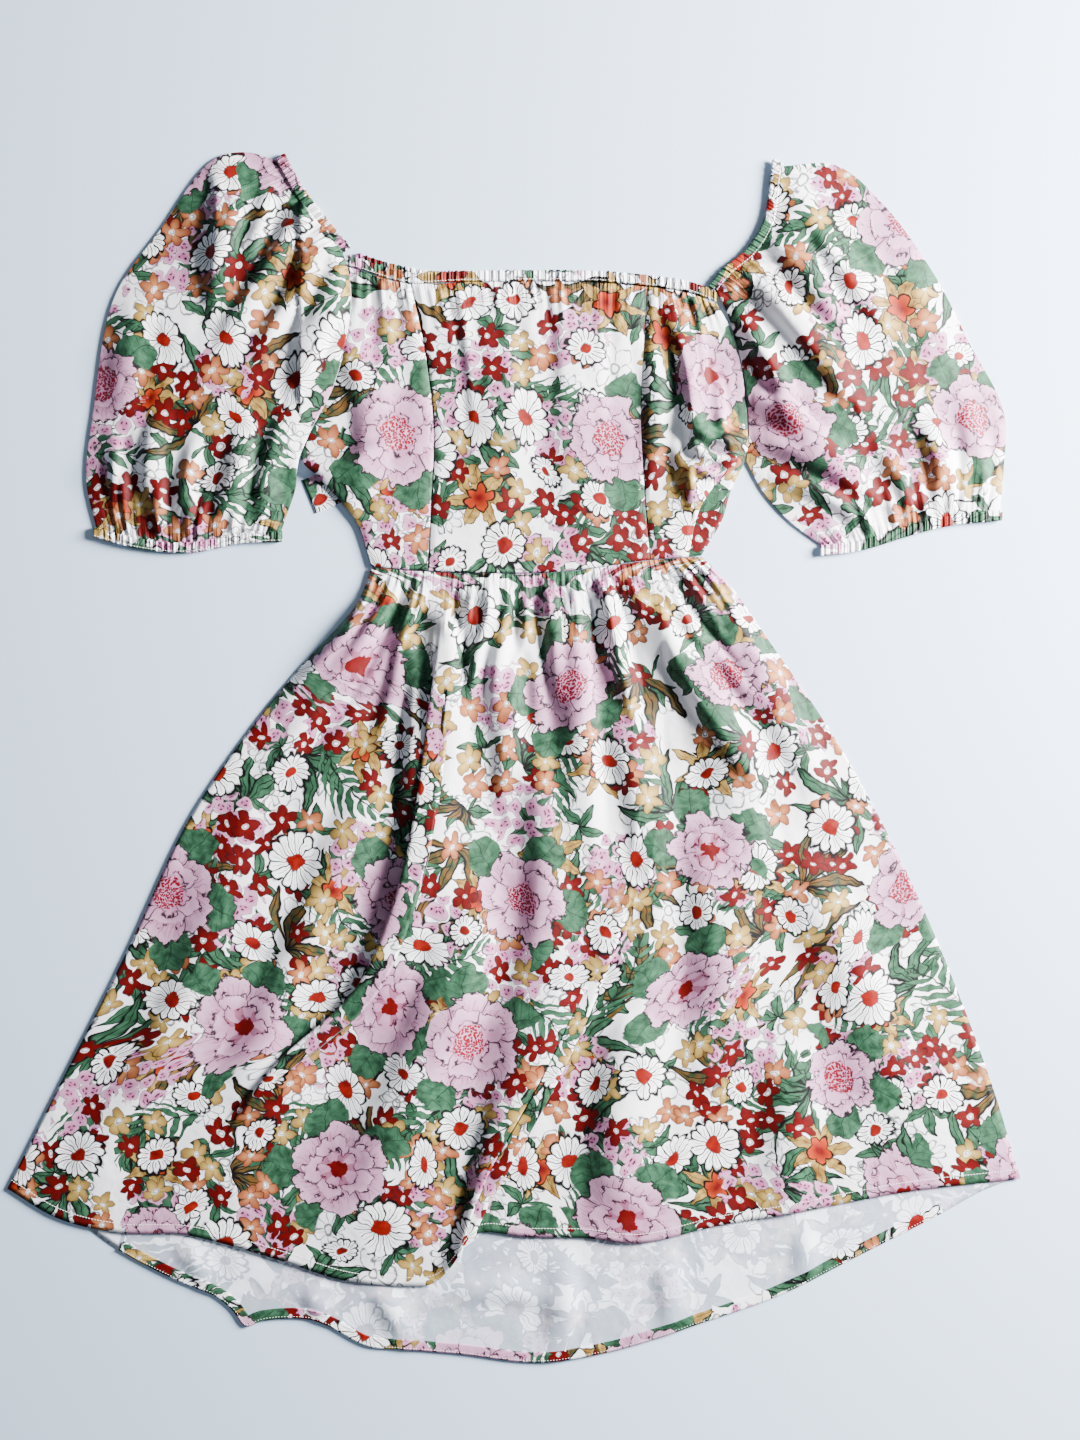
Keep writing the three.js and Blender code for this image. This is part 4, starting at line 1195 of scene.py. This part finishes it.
def skirt_front_places():
    v = np.linspace(0, 1, SKIRT_ROWS) ** ROWS_CROWD_UP
    u, rise = skirt_columns(v)
    v = np.repeat(v[:, None], u.shape[1], 1)
    xy = patch(skirt_edges, u, v)
    heights = skirt_height(xy, np.clip(u, 0, 1), v)
    start = 0
    for count in SKIRT_COLUMNS[:-1]:
        start += count
        end = start + OVERLAP_POINTS
        heights[:, start:end] = np.linspace(heights[:, start], heights[:, end - 1], OVERLAP_POINTS).T
        start = end
    return raised(xy, heights + rise)


front_places = skirt_front_places()
from_waist = np.linalg.norm(front_places - front_places[:1], axis=-1)
waist_gathers = gathered_at(from_waist, front_places[:1, :, 0], WAIST_REACH)
skirt_front = add_grid("skirt_front_cloth", front_places, laid(front_places, SKIRT_CUT), waist_gathers)
finish_sheet(skirt_front, CLOTH, printed, reverse)
declare(skirt_front, "skirt_front", cut_of(front_places))

# %% [markdown]
# ## The skirt back
#
# The back lies on the surface with its wrong side up, so its outer side takes the wrong side's
# material. It is longer than the front, and a few soft folds run across the strip that shows.

# %% The skirt back
BACK_INSET = 4
# start, middle, end, breadth, height and lean
BACK_FOLDS = [
    ((372, 1292), (392, 1312), (402, 1340), 12, 2.6, 0.3),
    ((300, 1290), (316, 1300), (322, 1316), 10, 2.0, 0),
    ((448, 1300), (500, 1290), (560, 1304), 12, 2.4, 0.3),
    ((560, 1256), (566, 1300), (556, 1350), 14, 2.6, -0.3),
    ((660, 1256), (670, 1290), (668, 1326), 14, 2.2, 0.2),
    ((800, 1226), (806, 1250), (800, 1276), 12, 2.0, 0),
    ((180, 1246), (196, 1262), (206, 1284), 10, 1.8, 0),
]
back_left = [(across + BACK_INSET, down) for across, down in SKIRT_LEFT[1:-1]]
back_right = [(across - BACK_INSET, down) for across, down in SKIRT_RIGHT[1:-1]]
skirt_back_edges = {
    "top": Line(at(below_waist)),
    "bottom": Line(at(BACK_HEM)),
    "left": Line(at([below_waist[0], *back_left, BACK_HEM[0]])),
    "right": Line(at([below_waist[-1], *back_right, BACK_HEM[-1]])),
}


def skirt_back_height(xy):
    return BACK_Z + tie_lift(xy) + ridges(BACK_FOLDS, xy)


u, v = spread(190, 120)
xy = patch(skirt_back_edges, u, v)
under_places = raised(xy, skirt_back_height(xy))
skirt_back = add_grid("skirt_back_cloth", under_places, laid(under_places))
finish_sheet(skirt_back, CLOTH, reverse, printed)
declare(skirt_back, "skirt_back", cut_of(under_places))

# %% [markdown]
# ## Hem and ties
#
# The back hem is turned up to the inside and stitched. Since the skirt is longer behind, that turning
# shows, print side up, along the edge of the pale wrong side. The ties lie under the bodice, and the
# free end of one peeps out at the left underarm.


# %% Hem and ties
TURNING_SHARES = (0.112, 0.927)
TURNING_DEPTHS = (0.0003, 0.0107)


def strip(node, name, line, shares, depths, height, size):
    """A narrow strip beside a line, from one depth to another across it."""
    columns, rows = size
    t = np.linspace(*shares, columns)
    side = line.along(t)[:, ::-1] * (-1, 1)
    near, far = depths
    xy = line.at(t)[None] + side[None] * np.linspace(far, near, rows)[:, None, None]
    places = raised(xy, height(xy))
    obj = finish_sheet(add_grid(name, places, laid(places)), CLOTH, printed, reverse)
    declare(obj, node, cut_of(places))
    return places


def turning_height(xy):
    return skirt_back_height(xy) + LAYER


def tie_height(xy):
    return np.full(xy.shape[:-1], BACK_Z)


back_hem = Line(at(BACK_HEM))
hem_turning_places = strip(
    "hem_turning_back", "hem_turning_cloth", back_hem, TURNING_SHARES, TURNING_DEPTHS, turning_height,
    (400, 8),
)  # fmt: skip
half_tie = (-TIE_WIDTH / 2, TIE_WIDTH / 2)
for side, points in (("right", TIE_RIGHT), ("left", TIE_LEFT)):
    tie = Line(at(points))
    strip(f"tie_{side}", f"tie_{side}_cloth", tie, (0, 1), half_tie, tie_height, (120, 14))

# %% [markdown]
# ## The sleeves
#
# A puff sleeve is a tube that is wider than both its ends. Laid down it is two layers: the lower lies on
# the surface and the upper one billows, with creases that run away from the elastic at the neck and at
# the hem. The left sleeve has fallen over the edge of the bodice, and rides up over it.

# %% The sleeves
OVER_BODICE = 0.0069
SLEEVE_PUFF = 0.009
SLEEVE_CLEAR = 0.0009
SLEEVE_FINE = 0.003
SLEEVE_LONG = 0.0045
SLEEVE_COLUMNS = 120
SLEEVE_ROWS = 140
ROWS_CROWD_OUT = 0.4
HEAD_GATHERS_NEARER = 0.6
bodice_edge = Line(at(BODICE_LEFT[:6])).at(np.linspace(0, 1, 60))


def over_bodice(xy):
    """How high the left sleeve lies on the edge of the bodice."""
    gap = xy[..., None, :] - bodice_edge
    far = np.where(gap[..., 0] > 0, 0, np.linalg.norm(gap, axis=-1))
    return OVER_BODICE * (1 - fade(0.004, 0.036, far.min(-1)))


def on_surface(xy):
    return np.zeros(xy.shape[:-1])


def sleeve_edges(shape):
    inset = np.array(shape["inward"]) * (CASING_DEPTH * 1000 - TUCKED)
    below = [tuple(np.array(point) + inset) for point in shape["elastic"][::-1]]
    return {
        "top": Line(at([*below, *shape["armhole"]])),
        "bottom": Line(at(shape["hem"])),
        "left": Line(at([below[0], *shape["outer"]])),
        "right": Line(at(shape["underarm"])),
    }


def sleeve_layers(u, v, xy, lift, seed):
    """The upper and the lower layer of a sleeve that lies flat, gathered at its head and its hem."""
    under = BACK_Z + lift(xy)
    rim = np.sin(np.pi * u) ** 0.5
    head = ripples(u, 26, seed) * SLEEVE_FINE * (1 - fade(0.0, 0.14, v)) * (1 - fade(0.42, 0.62, u))
    long = ripples(u, 10, seed + 1) * SLEEVE_LONG * (1 - fade(0.04, 0.35, v)) * fade(0, 0.04, v)
    head += long * (1 - fade(0.5, 0.8, u))
    cuff = ripples(u, 30, seed + 2) * SLEEVE_FINE * fade(0.86, 1.0, v)
    cuff += ripples(u, 13, seed + 3) * SLEEVE_LONG * fade(0.68, 0.95, v) * (1 - fade(0.96, 1, v))
    puff = SLEEVE_PUFF * np.sin(np.pi * v) ** 0.7 * rim + ridges(SLEEVE_FOLDS, xy) + head + cuff
    return raised(xy, under + LAYER + rim * (SLEEVE_CLEAR + puff)), raised(xy, under)


def sleeve_gathers(ring, shape):
    """The place along the nearer elastic and the strength of the gathers, for each point."""
    from_hem = np.linalg.norm(ring[-1:] - ring, axis=-1)
    elastic = Line(at(shape["elastic"]))
    near, share, _ = beside(elastic.at(np.linspace(0, 1, 40)), ring[..., :2].reshape(-1, 2))
    from_casing = (near - CASING_DEPTH).reshape(from_hem.shape) * HEAD_GATHERS_NEARER
    on_elastic = share.reshape(from_hem.shape) * elastic.length
    along = np.where(from_casing < from_hem, on_elastic, ring[-1:, :, 0])
    return gathered_at(np.maximum(np.minimum(from_casing, from_hem), 0), along)


def sleeve(node, shape, lift, seed):
    """A tube whose rows run round it: across the upper layer and back along the lower one."""
    t = 0.5 - 0.5 * np.cos(np.pi * np.linspace(0, 1, SLEEVE_COLUMNS))
    s = np.linspace(0, 1, SLEEVE_ROWS)
    u, v = np.meshgrid(t, s - ROWS_CROWD_OUT * np.sin(2 * np.pi * s) / (2 * np.pi))
    upper, lower = sleeve_layers(u, v, patch(sleeve_edges(shape), u, v), lift, seed)
    turn = (upper + lower) / 2
    ring = np.concatenate([turn[:, :1], upper[:, 1:-1], turn[:, -1:], lower[:, -2:0:-1], turn[:, :1]], 1)
    flat = ring[..., :2].copy()
    underarm = flat[:, SLEEVE_COLUMNS - 1, 0][:, None]
    flat[:, SLEEVE_COLUMNS:, 0] = 2 * underarm - flat[:, SLEEVE_COLUMNS:, 0]
    if shape["outer"][-1][0] > MIDDLE[0]:
        ring, flat = ring[:, ::-1], flat[:, ::-1]
    obj = add_grid(f"{node}_cloth", ring, flat + shape["cut"], sleeve_gathers(ring, shape))
    finish_sheet(obj, CLOTH, printed, reverse, tube=True)
    return declare(obj, node, cut_of(ring))


sleeve("sleeve_left", SLEEVE_LEFT, over_bodice, 21)
sleeve("sleeve_right", SLEEVE_RIGHT, on_surface, 31)

# %% [markdown]
# ## Elastic casings
#
# At the neckline and the sleeve hems the cloth is folded over elastic and stitched. The elastic pulls in,
# so the casing puckers: short, uneven ripples across its whole depth, with a wavy free edge. Each casing
# is a flattened tube that follows its seam. The print on it goes on from the panel it is folded from.
# A shoulder casing and a cuff run along the lower layer, round a fold and back along the upper one.

# %% Elastic casings
CASING_AROUND = 16
CASING_FULLNESS = 1.3
CASING_WRAP = 1.15
PUCKER = 0.0006
SECOND_PUCKER = 0.0004
EDGE_WAVE = 0.0007
PUCKER_POINTS = 12
CUFF_TUCK = 0.4
DOWN = (0, 1)
# which line along the tube has the stitches, for each side of the band
STITCHED_LINE = {1: 6, -1: 10}


def folded_line(points, closed):
    """A line along the lower layer, round a fold and back along the upper one."""
    line = Line(at(points))
    flat = line.at(np.linspace(0, 1, 40))
    half_height = (FRONT_CASING_Z - BACK_CASING_Z) / 2
    middle = (FRONT_CASING_Z + BACK_CASING_Z) / 2

    def turn(end, before):
        out = (end - before) / np.linalg.norm(end - before) * half_height
        angles = np.pi * (np.array([0.2, 0.5, 0.8]) - 0.5)
        return [(*(end + out * np.cos(a)), middle + half_height * np.sin(a)) for a in angles]

    back = [(*point, BACK_CASING_Z) for point in flat]
    front = [(*point, FRONT_CASING_Z) for point in flat[::-1]]
    points = [*back, *turn(flat[-1], flat[-2]), *front]
    if closed:
        points += turn(flat[0], flat[1])[::-1]
    return Line(points, closed)


def close_tube():
    """Joins the long seam of a tube made from a grid, closes its ends and turns its faces out."""
    bpy.ops.object.mode_set(mode="EDIT")
    bpy.ops.mesh.select_all(action="SELECT")
    bpy.ops.mesh.remove_doubles(threshold=SAME_PLACE)
    bpy.ops.mesh.select_all(action="DESELECT")
    bpy.ops.mesh.select_non_manifold()
    bpy.ops.mesh.fill_holes(sides=0)
    bpy.ops.mesh.select_all(action="SELECT")
    bpy.ops.mesh.normals_make_consistent(inside=False)
    bpy.ops.object.mode_set(mode="OBJECT")


def casing_places(line, inward, waves, seed, closed):
    """The points of a flattened tube beside a line in space, and the way out of its broad side."""
    t = np.linspace(0, 1, waves * PUCKER_POINTS + 1)
    inward = np.array([inward[0], -inward[1], 0.0])
    inward /= np.linalg.norm(inward)
    out = np.cross(line.along(t), inward)
    out /= np.linalg.norm(out, axis=1, keepdims=True)
    start = 0 if closed else np.random.default_rng(seed).uniform(0, 6)
    phase = 2 * np.pi * waves * t + 0.9 * np.sin(2 * np.pi * 3 * t + start)
    second = SECOND_PUCKER * np.sin(2 * phase + 2.4 * np.sin(2 * np.pi * 5 * t) + seed)
    swell = 0.6 + 0.4 * np.sin(2 * np.pi * 7 * t + seed)
    pucker = swell * (PUCKER * np.sin(phase) + second)
    edge = swell * (EDGE_WAVE * np.sin(phase + 1) + second)
    angles = 2 * np.pi * np.linspace(0, 1, CASING_AROUND + 1)
    depth = (0.5 - 0.5 * np.cos(angles))[:, None]
    rise = (np.sign(np.sin(angles)) * np.abs(np.sin(angles)) ** 0.6)[:, None]
    across = depth * CASING_DEPTH + (1 - depth) * edge[None]
    lift = rise * (CASING_THICK / 2 - PUCKER / 2) + pucker[None]
    places = line.at(t)[None] + inward * across[..., None] + out[None] * lift[..., None]
    places[..., 2] = np.maximum(places[..., 2], 0)
    return places, out


def casing(node, line, inward, waves, seed, print_at, closed=False, face=1):
    """A puckered band over elastic. face is the side of the band that its stitches show on."""
    places, out = casing_places(line, inward, waves, seed, closed)
    along = np.linspace(0, line.length, places.shape[1])[None]
    flat = print_at(places[..., :2])
    obj = add_grid(f"{node}_cloth", places, flat, gathered_at(np.zeros(places.shape[:2]), along))
    close_tube()
    obj.data.materials.append(printed)
    bpy.ops.object.shade_smooth()
    long, deep = line.length * CASING_FULLNESS, CASING_DEPTH * CASING_WRAP
    declare(obj, node, ((long, deep), long * deep))
    stitch_lines.append((places[STITCHED_LINE[face]], out * face))


def level(points, z):
    return Line([(*point, z) for point in at(points)])


def on_panels(xy):
    """The places on the print that the panels beside the neckline have."""
    return np.stack([np.interp(xy[..., 0], *neck_print.T), xy[..., 1]], -1)


def on_sleeve(shape):
    """Finds the places on the print that the sleeve beside a casing has."""
    return lambda xy: xy + shape["cut"]


stitch_lines = []
neck_print = np.vstack(neck_prints)
casing("neck_casing_back", level(NECK_BACK, BACK_CASING_Z), DOWN, 52, 1, on_panels)
front_neck = level(NECK_FRONT, FRONT_CASING_Z)
casing("neck_casing_front", front_neck, DOWN, 52, 2, on_panels, face=-1)
for side, shape, seed in (("left", SLEEVE_LEFT, 3), ("right", SLEEVE_RIGHT, 4)):
    shoulder = folded_line(shape["elastic"], False)
    casing(f"shoulder_casing_{side}", shoulder, shape["inward"], 44, seed, on_sleeve(shape))
    cuff = folded_line([(across, down - CUFF_TUCK) for across, down in shape["hem"]], True)
    casing(f"cuff_{side}", cuff, DOWN, 62, seed + 2, on_sleeve(shape), closed=True)

# %% [markdown]
# ## Stitching
#
# A lockstitch lies on the cloth for about two millimetres, then dives through it for a moment. A thread
# drawn as one long tube whose height dips under the cloth at each stitch gives just that, and needs only
# one shaped grid for each seam. The hems and the casings are the seams whose thread can be seen.

# %% Stitching
STITCH = 0.003
STITCH_POINTS = 7
STITCH_GAP = 0.13
THREAD = 0.00026
THREAD_SIDES = 5
DIP = 0.0013
FRONT_HEM_SEAM = 0.0095
BACK_HEM_SEAM = 0.0085


def along_hem(places, distance):
    """The line on a sheet that keeps its distance from the last row, and the sheet's direction there."""
    up = np.cross(np.gradient(places, axis=0), np.gradient(places, axis=1))
    up /= np.linalg.norm(up, axis=-1, keepdims=True)
    steps = np.linalg.norm(np.diff(places[::-1], axis=0), axis=2)
    far = np.pad(np.cumsum(steps, axis=0), ((1, 0), (0, 0)))
    path, normals = [], []
    for column in range(places.shape[1]):
        for source, found in ((places, path), (up, normals)):
            rows = source[::-1, column].T
            found.append([np.interp(distance, far[:, column], axis) for axis in rows])
    return np.array(path), np.array(normals)


def stitched(name, path, up):
    """A row of stitches along a path, on the side of the cloth that up points away from."""
    steps = np.linalg.norm(np.diff(path, axis=0), axis=1)
    far = np.concatenate([[0], np.cumsum(steps)])
    s = np.arange(0, far[-1], STITCH / STITCH_POINTS)
    spine, up = (np.stack([np.interp(s, far, axis) for axis in points.T], 1) for points in (path, up))
    up /= np.linalg.norm(up, axis=1, keepdims=True)
    side = np.cross(np.gradient(spine, axis=0), up)
    side /= np.linalg.norm(side, axis=1, keepdims=True)
    dip = np.exp(-(((s / STITCH % 1 - 0.5) / STITCH_GAP) ** 2)) * DIP
    spine = spine + up * (CLOTH / 2 + THREAD * 0.5 - dip)[:, None]
    spine[:, 2] = np.maximum(spine[:, 2], THREAD)
    turn = 2 * np.pi * np.linspace(0, 1, THREAD_SIDES + 1)[:, None, None]
    places = spine[None] + THREAD * (np.cos(turn) * side[None] + np.sin(turn) * up[None])
    obj = add_grid(name, places, places[..., :2])
    close_tube()
    obj.data.materials.append(thread)
    return obj


thread, thread_tree, thread_shader = new_material("sewing thread")
place = Signal(thread_tree, thread_tree.nodes.new("ShaderNodeTexCoord").outputs["Object"])
twist = place.node("ShaderNodeTexNoise", Vector=place, Scale=2600.0, Detail=1.0)
twist_bump = twist.node("ShaderNodeBump", Height=twist * 0.00008, Strength=1.0)
place.feed(thread_shader.inputs["Base Color"], twist.mix(colour(214, 212, 214), colour(240, 238, 238)))
place.feed(thread_shader.inputs["Normal"], twist_bump)
thread_shader.inputs["Roughness"].default_value = 0.5
thread_shader.inputs["Sheen Weight"].default_value = 0.1

stitch_lines.append(along_hem(front_places, FRONT_HEM_SEAM))
stitch_lines.append(along_hem(hem_turning_places[::-1], BACK_HEM_SEAM))
rows = [stitched(f"stitches_{index}", *line) for index, line in enumerate(stitch_lines)]
bpy.ops.object.select_all(action="DESELECT")
for row in rows:
    row.select_set(True)
bpy.context.view_layer.objects.active = rows[0]
bpy.ops.object.join()
stitching = bpy.context.object
stitching.name = "stitching"
bpy.ops.object.shade_smooth()
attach(stitching, "root")
print("stitching:", len(rows), "rows,", len(stitching.data.polygons), "faces")

# %% [markdown]
# ## Floor, light and camera
#
# The dress lies on a pale cool surface by a window, which is one soft area light low on the right. A
# faint light from the ceiling and a dim bluish room fill the shadows. The camera looks straight down
# from a person's height, with a lens that just takes in the photo's frame.

# %% Floor, light and camera
WINDOW = {"place": (1.9, 0.66, 0.84), "size": 0.8, "power": 585, "tint": (1.0, 0.99, 0.97)}
CEILING = {"place": (0.3, 0.4, 2.8), "size": 2.0, "power": 12, "tint": (0.95, 0.98, 1.0)}
FLOOR_COLOUR = (0.46, 0.58, 0.75, 1)
FLOOR_SIZE = 16
FLOOR_DROP = 0.0002
ROOM_COLOUR = (0.7, 0.85, 1.0, 1)
ROOM_STRENGTH = 0.16
CAMERA_HEIGHT = 1.6
PHOTO_HEIGHT = 1.44
PHOTO_CENTRE = (540, 720)
SENSOR = 36

bpy.ops.mesh.primitive_plane_add(size=FLOOR_SIZE, location=(0, 0, -FLOOR_DROP))
floor = bpy.context.object
floor.name = "floor"
floor_material, _, floor_shader = new_material("pale surface")
floor_shader.inputs["Base Color"].default_value = FLOOR_COLOUR
floor_shader.inputs["Roughness"].default_value = 0.7
floor.data.materials.append(floor_material)

world = bpy.data.worlds.new("room")
bpy.context.scene.world = world
world.use_nodes = True
room = world.node_tree.nodes["Background"]
room.inputs["Color"].default_value = ROOM_COLOUR
room.inputs["Strength"].default_value = ROOM_STRENGTH


def area_light(name, place, size, power, tint):
    """A square lamp at a place, turned to the middle of the dress."""
    bpy.ops.object.light_add(type="AREA", location=place)
    light = bpy.context.object
    light.name = name
    light.data.size = size
    light.data.energy = power
    light.data.color = tint
    light.rotation_euler = (-Vector(place)).to_track_quat("-Z", "Y").to_euler()
    print(name, "light,", power, "W")


area_light("window", **WINDOW)
area_light("ceiling", **CEILING)

bpy.ops.object.camera_add(location=(*at(PHOTO_CENTRE), CAMERA_HEIGHT), rotation=(0, 0, 0))
camera = bpy.context.object
camera.data.sensor_width = SENSOR
camera.data.lens = SENSOR * CAMERA_HEIGHT / PHOTO_HEIGHT
bpy.context.scene.camera = camera
